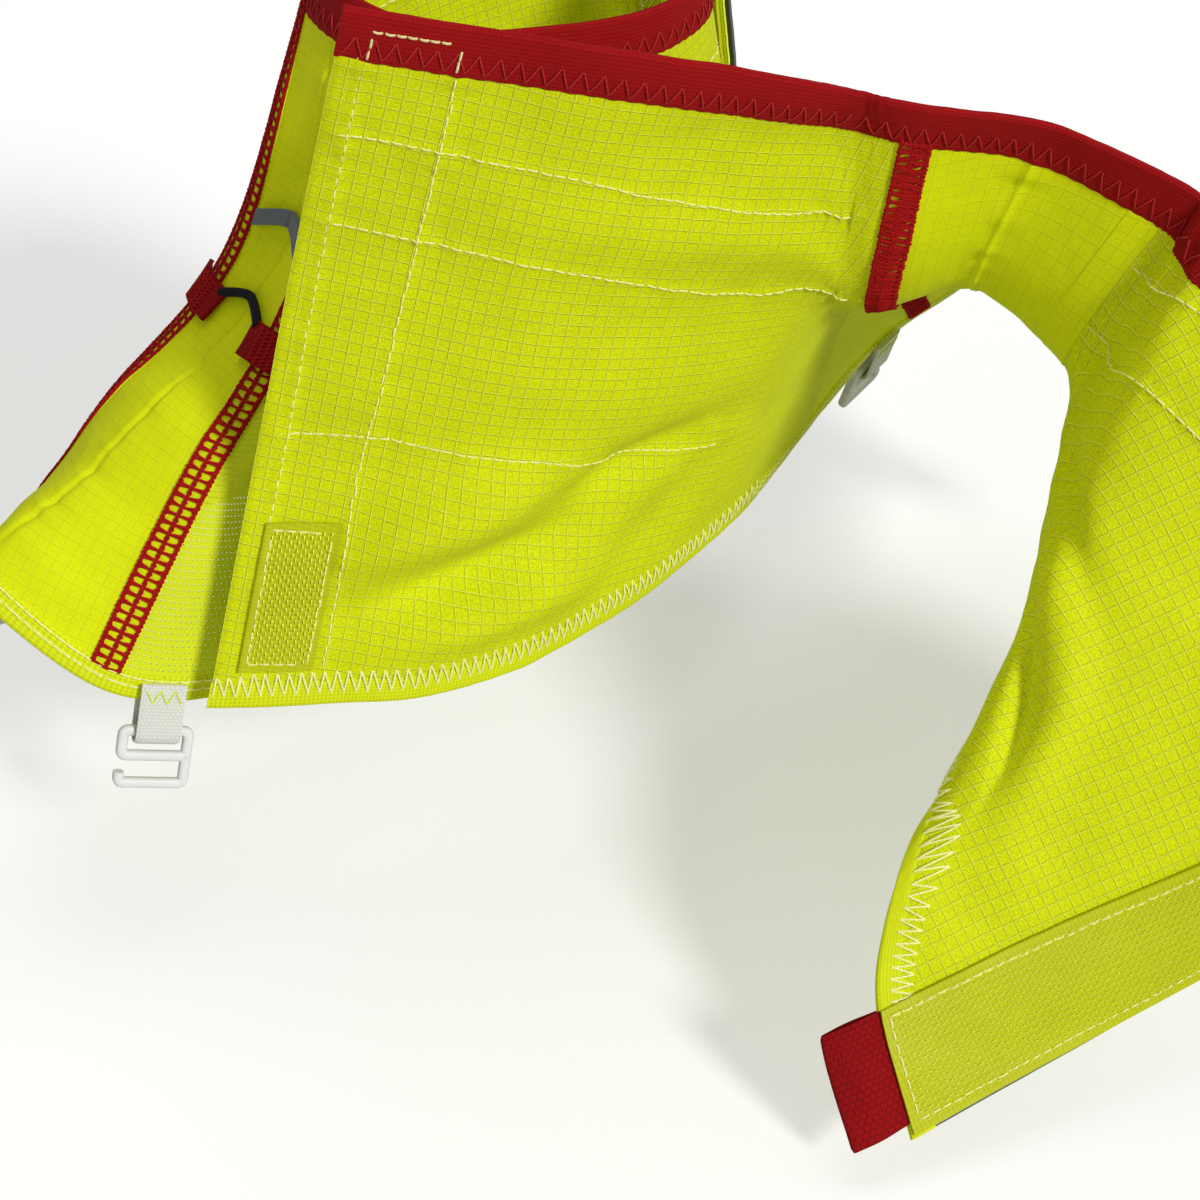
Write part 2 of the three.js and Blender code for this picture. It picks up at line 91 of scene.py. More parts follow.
def curve(pick: Callable[[Array], Array], knots: Array, t: Array) -> Array:
    """Cubic Hermite curve at uneven knots; each tangent is the weighted mean of slopes.

    Args:
        pick: Gives the points (n, 3) for an array of knot numbers (n,).
        knots: Parameter of each knot.
        t: Parameters at which the curve is wanted, (n,).

    Returns:
        Points (n, 3).
    """
    last = len(knots) - 2
    i = np.clip(np.searchsorted(knots, t, side="right") - 1, 0, last)

    def slope(k: Array) -> Array:
        """Change per unit of the parameter between knots k and k + 1."""
        k = np.clip(k, 0, last)
        return (pick(k + 1) - pick(k)) / (knots[k + 1] - knots[k])[:, None]

    def tangent(k: Array) -> Array:
        """Tangent at knot k: both slopes, each weighted by the other side's length."""
        before = (knots[k] - knots[np.maximum(k - 1, 0)])[:, None]
        after = (knots[np.minimum(k + 1, last + 1)] - knots[k])[:, None]
        return (slope(k - 1) * after + slope(k) * before) / (before + after)

    span = (knots[i + 1] - knots[i])[:, None]
    f = (t - knots[i])[:, None] / span
    return (
        (2 * f**3 - 3 * f**2 + 1) * pick(i)
        + (f**3 - 2 * f**2 + f) * span * tangent(i)
        + (3 * f**2 - 2 * f**3) * pick(i + 1)
        + (f**3 - f**2) * span * tangent(i + 1)
    )


def unit(vectors: Array) -> Array:
    """Vectors scaled to length one."""
    return vectors / np.maximum(np.linalg.norm(vectors, axis=-1, keepdims=True), 1e-9)


@dataclass
class Net:
    """Points in mm with faces of any number of corners and one UV pair for each point."""

    points: Array
    faces: list[Array]
    uv: Array

    @staticmethod
    def joined(nets: list["Net"]) -> "Net":
        """One net from several, their faces renumbered."""
        starts = np.cumsum([0] + [len(n.points) for n in nets])
        return Net(
            np.concatenate([n.points for n in nets]),
            [f + s for n, s in zip(nets, starts) for f in n.faces],
            np.concatenate([n.uv for n in nets]),
        )

    def piece(self, name: str, material: bpy.types.Material) -> bpy.types.Object:
        """Makes the object: metres, smooth faces, edges over 50 degrees kept sharp.

        Args:
            name: Name of the piece.
            material: Its finish.

        Returns:
            The new object, at the origin.
        """
        mesh = bpy.data.meshes.new(name)
        corners = np.concatenate([f.ravel() for f in self.faces]).astype(np.int32)
        totals = np.concatenate([np.full(len(f), f.shape[1]) for f in self.faces])
        mesh.vertices.add(len(self.points))
        mesh.vertices.foreach_set("co", (self.points * MM).astype(np.float32).ravel())
        mesh.loops.add(len(corners))
        mesh.loops.foreach_set("vertex_index", corners)
        mesh.polygons.add(len(totals))
        mesh.polygons.foreach_set("loop_start", (np.cumsum(totals) - totals).astype(np.int32))
        layer = mesh.uv_layers.new(name="cloth")
        layer.data.foreach_set("uv", self.uv[corners].astype(np.float32).ravel())
        mesh.update(calc_edges=True)
        mesh.validate()
        mesh.polygons.foreach_set("use_smooth", np.ones(len(mesh.polygons), bool))
        mesh.set_sharp_from_angle(angle=np.radians(50))
        mesh.materials.append(material)
        obj = bpy.data.objects.new(name, mesh)
        bpy.context.scene.collection.objects.link(obj)
        return obj


def grid_faces(nu: int, nv: int, wrap: bool = False) -> Array:
    """Quads of a grid of nu by nv points, turned so that v x u faces out; v may wrap."""
    i, j = np.meshgrid(np.arange(nu - 1), np.arange(nv if wrap else nv - 1), indexing="ij")
    k = (j + 1) % nv
    quads = np.stack([i * nv + j, i * nv + k, (i + 1) * nv + k, (i + 1) * nv + j], -1)
    return quads.reshape(-1, 4)


def shell(points: Array, normals: Array, wall: Array | float, uv: Array) -> Net:
    """Two layers of a grid, half a wall either side of it, with a rim round them.

    Args:
        points: Middle surface, (nu, nv, 3).
        normals: Its outward normals.
        wall: Thickness in mm, one number or (nu, nv).
        uv: Cloth coordinates, (nu, nv, 2).

    Returns:
        A closed net.
    """
    nu, nv = points.shape[:2]
    half = np.broadcast_to(np.asarray(wall, float), (nu, nv))[..., None] / 2
    both = np.concatenate([(points + normals * half).reshape(-1, 3),
                           (points - normals * half).reshape(-1, 3)])
    outer = grid_faces(nu, nv)
    number = np.arange(nu * nv).reshape(nu, nv)
    rim = np.concatenate([number[:-1, 0], number[-1, :-1], number[:0:-1, -1], number[0, :0:-1]])
    after, below = np.roll(rim, -1), nu * nv
    sides = np.stack([rim, after, after + below, rim + below], -1)
    return Net(both, [outer, outer[:, ::-1] + below, sides], np.tile(uv.reshape(-1, 2), (2, 1)))


def lattice(points: Array, normals: Array, quads: Array, wall: float, uv: Array) -> Net:
    """Two layers of a net with holes; every open edge of it gets a wall between them."""
    a, b, c = (points[quads[0, k]] for k in range(3))
    if np.cross(b - a, c - a) @ normals[quads[0, 0]] < 0:
        quads = quads[:, ::-1]
    n = len(points)
    start, end = quads.ravel(), np.roll(quads, -1, 1).ravel()
    keep = start != end
    start, end = start[keep], end[keep]
    lone = ~np.isin(start * n + end, end * n + start)
    start, end = start[lone], end[lone]
    both = np.concatenate([points + normals * wall / 2, points - normals * wall / 2])
    sides = np.stack([end, start, start + n, end + n], -1)
    return Net(both, [quads, quads[:, ::-1] + n, sides], np.tile(uv, (2, 1)))


def tube(rings: Array, uv: Array) -> Net:
    """A closed skin over rings (n, m, 3) of points, with a flat cap at each end."""
    n, m = rings.shape[:2]
    number = np.arange(n * m).reshape(n, m)
    faces = [grid_faces(n, m, True), number[:1, ::-1], number[-1:]]
    return Net(rings.reshape(-1, 3), faces, uv.reshape(-1, 2))


def strands(lines: Array, normals: Array, radius: float, sides: int = 5,
            flat: float = 1.0) -> Net:
    """Round threads: a circle carried square to each polyline, with caps.

    Args:
        lines: Middles of the threads, (n, k, 3).
        normals: A direction across each point, (n, k, 3).
        radius: Of the thread, in mm.
        sides: Of its section.
        flat: Height of the section as a share of its width.

    Returns:
        One net of all the threads.
    """
    n, k = lines.shape[:2]
    ahead = unit(np.gradient(lines, axis=1))
    across = unit(np.cross(ahead, normals))
    up = np.cross(across, ahead)
    turn = np.linspace(0, 2 * np.pi, sides, endpoint=False)
    rings = lines[:, :, None] + radius * (
        np.cos(turn)[:, None] * across[:, :, None] + flat * np.sin(turn)[:, None] * up[:, :, None])
    number = np.arange(n * k * sides).reshape(n, k, sides)
    a, b = number[:, :-1], number[:, 1:]
    quads = np.stack([a, b, np.roll(b, -1, 2), np.roll(a, -1, 2)], -1).reshape(-1, 4)
    around = np.broadcast_to(turn / (2 * np.pi) * 0.002, (n, k, sides))
    along = np.linalg.norm(np.diff(lines, axis=1, prepend=lines[:, :1]), axis=2).cumsum(1) * MM
    uv = np.stack([around, np.broadcast_to(along[..., None], around.shape)], -1)
    return Net(rings.reshape(-1, 3), [quads, number[:, 0], number[:, -1, ::-1]], uv.reshape(-1, 2))


# ---- Finishes ----
def colour(code: str) -> tuple[float, float, float, float]:
    """Linear colour of an sRGB hex code such as '#d4f000'."""
    s = np.array([int(code[k:k + 2], 16) for k in (1, 3, 5)]) / 255
    linear = np.where(s <= 0.04045, s / 12.92, ((s + 0.055) / 1.055) ** 2.4)
    return (*linear.tolist(), 1.0)


def add_node(tree: bpy.types.NodeTree, kind: str, inputs: dict | None = None,
             **settings: object) -> bpy.types.Node:
    """Adds a node with its settings, values and links.

    Args:
        tree: Node tree of the material.
        kind: Blender's name for the node type.
        inputs: Input name or number to a value, or to the socket that feeds it.
        settings: Properties of the node.

    Returns:
        The node.
    """
    node = tree.nodes.new(kind)
    for key, value in settings.items():
        setattr(node, key, value)
    for key, value in (inputs or {}).items():
        if isinstance(value, Socket):
            tree.links.new(value, node.inputs[key])
        else:
            node.inputs[key].default_value = value
    return node


class Weave(Enum):
    """How a cloth or moulding was made, which decides its pattern."""

    RIPSTOP = "plain weave with raised double threads in a grid"
    STRETCH = "stretch weave with a faint grid"
    KNIT = "knitted, with ribs along it"
    WEBBING = "close narrow weave in small staggered blocks"
    THREAD = "twisted filaments"
    TAPE = "woven backing of a touch fastener"
    MOULDED = "injection moulded"


@dataclass(frozen=True)
class Finish:
    """One material: its colours, its gloss and the pattern that its making leaves.

    Attributes:
        name: Name of the real material and how it was made.
        base: Colour of the main surface, sRGB hex.
        light: Colour of raised threads, lighter than the base as a painted highlight on them.
        dark: Colour of grooves and worn places; in the ripstop and stretch grooves it is painted
            shade beside the raised threads.
        weave: The pattern.
        pitch: Repeat of the pattern across and along, in mm.
        depth: Height of the pattern, in mm.
        roughness: Of the shader.
        sheen: Soft glow of loose fibres at grazing angles.
        glow: Strength of a painted glow, the base colour emitted whether lit or not; on the
            fluorescent cloth it stands in for the dye's brightness.
    """

    name: str
    base: str
    light: str
    dark: str
    weave: Weave
    pitch: tuple[float, float] = (3.0, 2.7)
    depth: float = 0.12
    roughness: float = 0.6
    sheen: float = 0.15
    glow: float = 0.0

    def material(self) -> bpy.types.Material:
        """The node material, made on first use."""
        found = bpy.data.materials.get(self.name)
        return found or self.build()

    def build(self) -> bpy.types.Material:
        """Makes the material: pattern mask and grain drive its colour, gloss and relief; the colour
        also carries a painted highlight on raised threads, painted shade in the grooves beside them
        and a painted glow.

        Returns:
            The new material.
        """
        material = bpy.data.materials.new(self.name)
        material.use_nodes = True
        tree = material.node_tree
        tree.nodes.clear()
        raised, groove_and_shade, grain = self.pattern(tree)
        wear = add_node(tree, "ShaderNodeTexNoise",
                        {"Vector": self.place(tree, (60.0, 60.0)), "Scale": 1.0,
                         "Detail": 3.0, "Roughness": 0.6}).outputs["Fac"]
        tone = add_node(tree, "ShaderNodeMapRange",
                        {"Value": wear, "From Min": 0.35, "From Max": 0.7,
                         "To Min": 0.0, "To Max": 0.16}).outputs["Result"]
        shade = self.mix(tree, tone, colour(self.base), colour(self.dark))
        shade = self.mix(tree, grain, shade, colour(self.dark))
        # Painted shade: the groove mask darkens the colour; in the ripstop and stretch it is a line
        # beside each raised thread, elsewhere ribs, joints and specks of the weave.
        shade = self.mix(tree, groove_and_shade, shade, colour(self.dark))
        # Painted highlight: the raised mask lightens the colour where threads and ribs stand up.
        shade = self.mix(tree, raised, shade, colour(self.light))
        height = add_node(tree, "ShaderNodeMath", {0: raised, 1: groove_and_shade},
                          operation="SUBTRACT").outputs[0]
        height = add_node(tree, "ShaderNodeMath", {0: grain, 1: -0.8, 2: height},
                          operation="MULTIPLY_ADD").outputs[0]
        bump = add_node(tree, "ShaderNodeBump",
                        {"Height": height, "Distance": self.depth * MM, "Strength": 1.0})
        gloss = add_node(tree, "ShaderNodeMapRange",
                         {"Value": grain, "To Min": self.roughness,
                          "To Max": min(1.0, self.roughness + 0.2)}).outputs["Result"]
        # The emission below is a painted glow of the base colour, as strong as glow.
        shader = add_node(tree, "ShaderNodeBsdfPrincipled",
                          {"Base Color": shade, "Roughness": gloss,
                           "Normal": bump.outputs["Normal"], "IOR": 1.5,
                           "Specular IOR Level": 0.18, "Sheen Weight": self.sheen,
                           "Sheen Roughness": 0.4, "Sheen Tint": colour(self.light),
                           "Emission Color": colour(self.base),
                           "Emission Strength": self.glow})
        add_node(tree, "ShaderNodeOutputMaterial", {"Surface": shader.outputs["BSDF"]})
        return material

    def place(self, tree: bpy.types.NodeTree, scale: tuple[float, float],
              move: tuple[float, float] = (0.0, 0.0)) -> Socket:
        """Cloth coordinates in metres, scaled to repeats and moved."""
        uv = add_node(tree, "ShaderNodeUVMap", uv_map="cloth").outputs["UV"]
        return add_node(tree, "ShaderNodeMapping",
                        {"Vector": uv, "Scale": (*scale, 1.0),
                         "Location": (*move, 0.0)}).outputs["Vector"]

    def mix(self, tree: bpy.types.NodeTree, share: Socket, a: object, b: object) -> Socket:
        """Colour a turning to b by the share."""
        node = add_node(tree, "ShaderNodeMix", data_type="RGBA")
        for slot, value in ((0, share), (6, a), (7, b)):
            if isinstance(value, Socket):
                tree.links.new(value, node.inputs[slot])
            else:
                node.inputs[slot].default_value = value
        return node.outputs[2]

    def cells(self, tree: bpy.types.NodeTree, pitch: tuple[float, float], line: float,
              shift: float = 0.0, offset: float = 0.0) -> Socket:
        """Mask of the lines between cells of a pitch in mm; line is their share of a cell."""
        scale = (1 / (pitch[0] * MM), 1 / (pitch[1] * MM))
        return add_node(tree, "ShaderNodeTexBrick",
                        {"Vector": self.place(tree, scale, (shift, shift)), "Scale": 1.0,
                         "Mortar Size": line, "Mortar Smooth": 1.0,
                         "Brick Width": 1.0, "Row Height": 1.0},
                        offset=offset, squash=1.0).outputs["Fac"]

    def ridges(self, tree: bpy.types.NodeTree, pitch: float, way: str,
               waver: float = 0.0) -> Socket:
        """Sine ridges of a pitch in mm, running across the X or Y of the cloth."""
        scale = 2 * np.pi / 20 / (pitch * MM)
        return add_node(tree, "ShaderNodeTexWave",
                        {"Vector": self.place(tree, (scale, scale)), "Scale": 1.0,
                         "Distortion": waver, "Detail": 1.0},
                        wave_type="BANDS", bands_direction=way).outputs["Fac"]

    def specks(self, tree: bpy.types.NodeTree, size: float, share: float) -> Socket:
        """Grain of a size in mm, from 0 to share."""
        fac = add_node(tree, "ShaderNodeTexNoise",
                       {"Vector": self.place(tree, (1 / (size * MM),) * 2), "Scale": 1.0,
                        "Detail": 1.0}).outputs["Fac"]
        return add_node(tree, "ShaderNodeMapRange",
                        {"Value": fac, "From Min": 0.35, "From Max": 0.65,
                         "To Min": 0.0, "To Max": share}).outputs["Result"]

    def scaled(self, tree: bpy.types.NodeTree, mask: Socket, share: float) -> Socket:
        """A mask weakened to a share."""
        return add_node(tree, "ShaderNodeMath", {0: mask, 1: share},
                        operation="MULTIPLY").outputs[0]

    def pattern(self, tree: bpy.types.NodeTree) -> tuple[Socket, Socket, Socket]:
        """Masks of raised threads, of grooves and of grain for this weave; the colour paints a
        highlight on the threads and shade in the grooves.
        """
        across, along = self.pitch
        if self.weave is Weave.RIPSTOP:
            # Ripstop and stretch: the first mask lightens the threads as a painted highlight, the
            # second, shifted beside them, darkens as painted shade.
            return (self.scaled(tree, self.cells(tree, self.pitch, 0.055), 0.7),
                    self.scaled(tree, self.cells(tree, self.pitch, 0.07, 0.08), 0.4),
                    self.specks(tree, 0.45, 0.38))
        if self.weave is Weave.STRETCH:
            return (self.scaled(tree, self.cells(tree, self.pitch, 0.05), 0.3),
                    self.scaled(tree, self.cells(tree, self.pitch, 0.06, 0.07), 0.35),
                    self.specks(tree, 0.4, 0.2))
        if self.weave is Weave.WEBBING:
            return (self.scaled(tree, self.cells(tree, self.pitch, 0.06, 0.0, 0.5), 0.12),
                    self.scaled(tree, self.cells(tree, self.pitch, 0.2, 0.1, 0.5), 0.4),
                    self.specks(tree, 0.3, 0.25))
        if self.weave is Weave.KNIT:
            return (self.scaled(tree, self.ridges(tree, across, "X"), 0.35),
                    self.scaled(tree, self.ridges(tree, along, "Y"), 0.4),
                    self.specks(tree, 0.3, 0.25))
        if self.weave is Weave.TAPE:
            return (self.scaled(tree, self.ridges(tree, across, "X"), 0.12),
                    self.scaled(tree, self.ridges(tree, along, "Y"), 0.25),
                    self.specks(tree, 0.3, 0.15))
        if self.weave is Weave.THREAD:
            return (self.scaled(tree, self.ridges(tree, across, "DIAGONAL"), 0.4),
                    self.specks(tree, 0.25, 0.15), self.specks(tree, 0.2, 0.3))
        return (self.specks(tree, 0.6, 0.05), self.specks(tree, 4.0, 0.06),
                self.specks(tree, 0.25, 0.05))


# Finishes given a glow shine with a faint painted glow of their base colour.
# Woven nylon, fluorescent yellow: a matt grain with thin double threads in a grid, brightened by a
# painted highlight and edged by painted shade.
RIPSTOP = Finish("woven_nylon_ripstop_fluorescent_yellow", "#dde800", "#f8fb66", "#8f9600",
                 Weave.RIPSTOP, (2.9, 2.5), 0.14, 0.75, 0.05, glow=0.05)
# Stretch weave: smoother and brighter, with a fainter grid than the ripstop's.
STRETCH = Finish("stretch_woven_nylon_fluorescent_yellow", "#e2ec00", "#f4fa3c", "#a2a800",
                 Weave.STRETCH, (2.9, 2.6), 0.08, 0.75, 0.05, glow=0.05)
# Warp-knitted mesh: round bright yarn between open holes.
MESH = Finish("warp_knitted_polyester_mesh_yellow", "#e0ee10", "#f4fc4a", "#98a200",
              Weave.KNIT, (0.5, 0.5), 0.05, 0.75, 0.05, glow=0.06)
# Knitted elastic, dyed red: fine ribs and a soft matt face.
RED_ELASTIC = Finish("knitted_elastic_binding_red", "#a20509", "#ba1613", "#5e0104",
                     Weave.KNIT, (0.9, 0.7), 0.07, 0.85, 0.08)
YELLOW_ELASTIC = Finish("knitted_elastic_binding_yellow", "#dce800", "#f0f636", "#959c00",
                        Weave.KNIT, (0.8, 0.9), 0.08, 0.75, 0.05, glow=0.05)
# Textured polyester sewing threads, softly twisted.
RED_THREAD = Finish("textured_polyester_thread_red", "#ac070b", "#cc241d", "#5e0104",
                    Weave.THREAD, (0.5, 0.5), 0.05, 0.85, 0.1)
PINK_THREAD = Finish("polyester_sewing_thread_light_red", "#bc2226", "#d4483e", "#801014",
                     Weave.THREAD, (0.5, 0.5), 0.04, 0.7, 0.05)
PALE_THREAD = Finish("polyester_sewing_thread_pale_yellow", "#f4f6a0", "#fbfcc8", "#c8c850",
                     Weave.THREAD, (0.5, 0.5), 0.04, 0.6, 0.1, 0.06)
CREAM_THREAD = Finish("polyester_sewing_thread_cream", "#f0e09a", "#faf0c8", "#b8a058",
                      Weave.THREAD, (0.5, 0.5), 0.04, 0.6, 0.1, 0.05)
# Touch fastener: glossy translucent hooks or brushed loops on a woven yellow tape.
HOOK_TAPE = Finish("nylon_hook_tape_moulded_yellow_green", "#c6cc0c", "#e2e642", "#8c9004",
                   Weave.TAPE, (1.5, 0.95), 0.06, 0.45, 0.03)
HOOKS = Finish("nylon_hooks_moulded_light_yellow", "#f2f65a", "#fafc8c", "#c0c618",
               Weave.MOULDED, depth=0.02, roughness=0.4, sheen=0.0, glow=0.03)
LOOP_TAPE = Finish("nylon_loop_tape_brushed_yellow_green", "#b9cf10", "#d6ea4a", "#84960a",
                   Weave.TAPE, (0.9, 0.9), 0.18, 0.9, 0.6)
GREY_FILM = Finish("satin_polyurethane_film_grey", "#5d636b", "#7c838a", "#3c4147",
                   Weave.MOULDED, depth=0.03, roughness=0.5, sheen=0.0)
RED_WEBBING = Finish("woven_polyester_webbing_red", "#a00509", "#bb1a17", "#520103",
                     Weave.WEBBING, (1.6, 1.3), 0.3, 0.85, 0.05)
WHITE_WEBBING = Finish("woven_polyester_webbing_white", "#ecece4", "#fbfbf6", "#b9b9ae",
                       Weave.WEBBING, (1.0, 0.8), 0.12, 0.7, 0.2)
YELLOW_THREAD = Finish("polyester_sewing_thread_bright_yellow", "#dcf03c", "#f0fb80", "#a8ba10",
                       Weave.THREAD, (0.5, 0.5), 0.04, 0.55, 0.2)
WHITE_PLASTIC = Finish("acetal_injection_moulded_white", "#e8eae7", "#f6f7f5", "#c6c9c6",
                       Weave.MOULDED, depth=0.02, roughness=0.38, sheen=0.0)
BLACK_ELASTIC = Finish("braided_elastic_cord_black", "#1d1d22", "#3c3c44", "#0c0c0f",
                       Weave.WEBBING, (0.8, 0.9), 0.12, 0.75, 0.2)
GREY_ELASTIC = Finish("knitted_elastic_band_grey", "#71777b", "#9aa0a4", "#474c50",
                      Weave.KNIT, (0.6, 0.8), 0.08, 0.75, 0.2)


# ---- The skin and its relief ----
class Skin:
    """One gaiter's surface: u runs in mm round it, v from hem 0 to top 1."""

    def __init__(self, ribs: dict[str, Rib]) -> None:
        """Sets up the rib net; a missing point lies on the straight line hem to top.

        Args:
            ribs: Name to hem, lower, upper and top point, in mm.
        """
        self.names = list(ribs)
        self.rows = np.stack([self.filled(r) for r in ribs.values()], axis=1)
        steps = np.linalg.norm(np.diff(self.rows, axis=1), axis=2).mean(axis=0)
        self.knots = np.concatenate([[0.0], np.cumsum(steps)])

    @staticmethod
    def filled(rib: Rib) -> Array:
        """Rib with its missing points set a third of the way on from each other."""
        hem, top = np.array(rib[0], float), np.array(rib[3], float)
        return np.array([hem + (top - hem) * k / 3 if p is None else p
                         for k, p in enumerate(rib)], float)

    def u(self, name: str) -> float:
        """Station of a rib."""
        return float(self.knots[self.names.index(name)])

    def point(self, u: Array, v: Array) -> Array:
        """Points of the skin: a curve across each of four rows, then one up the rib."""
        u, v = np.broadcast_arrays(np.asarray(u, float), np.asarray(v, float))
        flat = u.ravel()
        rows = np.stack([curve(lambda i, r=r: r[i], self.knots, flat) for r in self.rows])
        n = np.arange(len(flat))
        heights = np.array([0, 1 / 3, 2 / 3, 1])
        return curve(lambda i: rows[i, n], heights, v.ravel()).reshape(*u.shape, 3)

    def steps(self, u: Array, v: Array) -> tuple[Array, Array]:
        """Change of the point for one mm of u and for the whole of v."""
        d = 1e-3
        along = (self.point(u + d, v) - self.point(u - d, v)) / (2 * d)
        up = (self.point(u, v + d) - self.point(u, v - d)) / (2 * d)
        return along, up

    def patch(self, edges: tuple[Edge, Edge, Edge, Edge], s: Array,
              t: Array) -> tuple[Array, Array]:
        """u and v of a grid between two side edges and a foot and a head edge.

        Args:
            edges: u of the first and last side for v, then v of foot and head for u.
            s: Shares across the patch.
            t: Shares up it.

        Returns:
            Two grids, (len(s), len(t)).
        """
        first, last, foot, head = edges
        s, t = np.meshgrid(s, t, indexing="ij")
        middle = np.full(s.shape, 0.5)
        u = (first(middle) + last(middle)) / 2
        v = middle
        for _ in range(4):
            v = foot(u) + (head(u) - foot(u)) * t
            u = first(v) + (last(v) - first(v)) * s
        return u, v


@dataclass(frozen=True)
class Crease:
    """A ridge between two places of the skin: height times a bell across its line."""

    a: tuple[float, float]
    b: tuple[float, float]
    height: float
    width: float
    tall: float = RISE

    def lift(self, u: Array, v: Array) -> Array:
        """Height in mm at each place, fading out past both ends."""
        a, b = np.array(self.a), np.array(self.b)
        scale = np.array([1.0, self.tall])
        d, p = (b - a) * scale, np.stack([u, v], -1) * scale - a * scale
        length = np.linalg.norm(d)
        t = np.clip(p @ d / length**2, 0, 1)
        gap = np.linalg.norm(p - t[..., None] * d, axis=-1)
        return self.height * np.exp(-((gap / self.width) ** 2)) * (0.35 + 0.65 * np.sin(np.pi * t))


@dataclass(frozen=True)
class Row:
    """A line of sewing: across the skin, with v at stations u, or up it, with u at v."""

    stations: tuple[float, ...]
    places: tuple[float, ...]
    across: bool = True
    pucker: float = 0.35

    def path(self) -> tuple[Array, Array]:
        """u and v at every half millimetre or so of the row."""
        fine = np.linspace(self.stations[0], self.stations[-1], 900)
        place = np.interp(fine, self.stations, self.places)
        smooth = np.ones(61) / 61
        place = np.convolve(np.pad(place, 30, mode="edge"), smooth, mode="valid")
        return (fine, place) if self.across else (place, fine)

    def lift(self, u: Array, v: Array, tall: float = RISE) -> Array:
        """Groove along the row with short ripples across it that fade away from it."""
        uu, vv = self.path()
        run, place = (uu, vv) if self.across else (vv, uu)
        here, other = (u, v) if self.across else (v, u)
        scale = tall if self.across else 1.0
        gap = (other - np.interp(here, run, place)) * scale
        length = here if self.across else here * tall
        start, end = run[0] * (1 if self.across else tall), run[-1] * (1 if self.across else tall)
        ends = np.clip((length - start) / 4 + 1, 0, 1) * np.clip((end - length) / 4 + 1, 0, 1)
        ripple = noise(length / 3.2, gap / 14 + 5, 11) * np.exp(-np.abs(gap) / 5)
        return ends * self.pucker * (1.1 * ripple - np.exp(-((gap / 0.9) ** 2)))


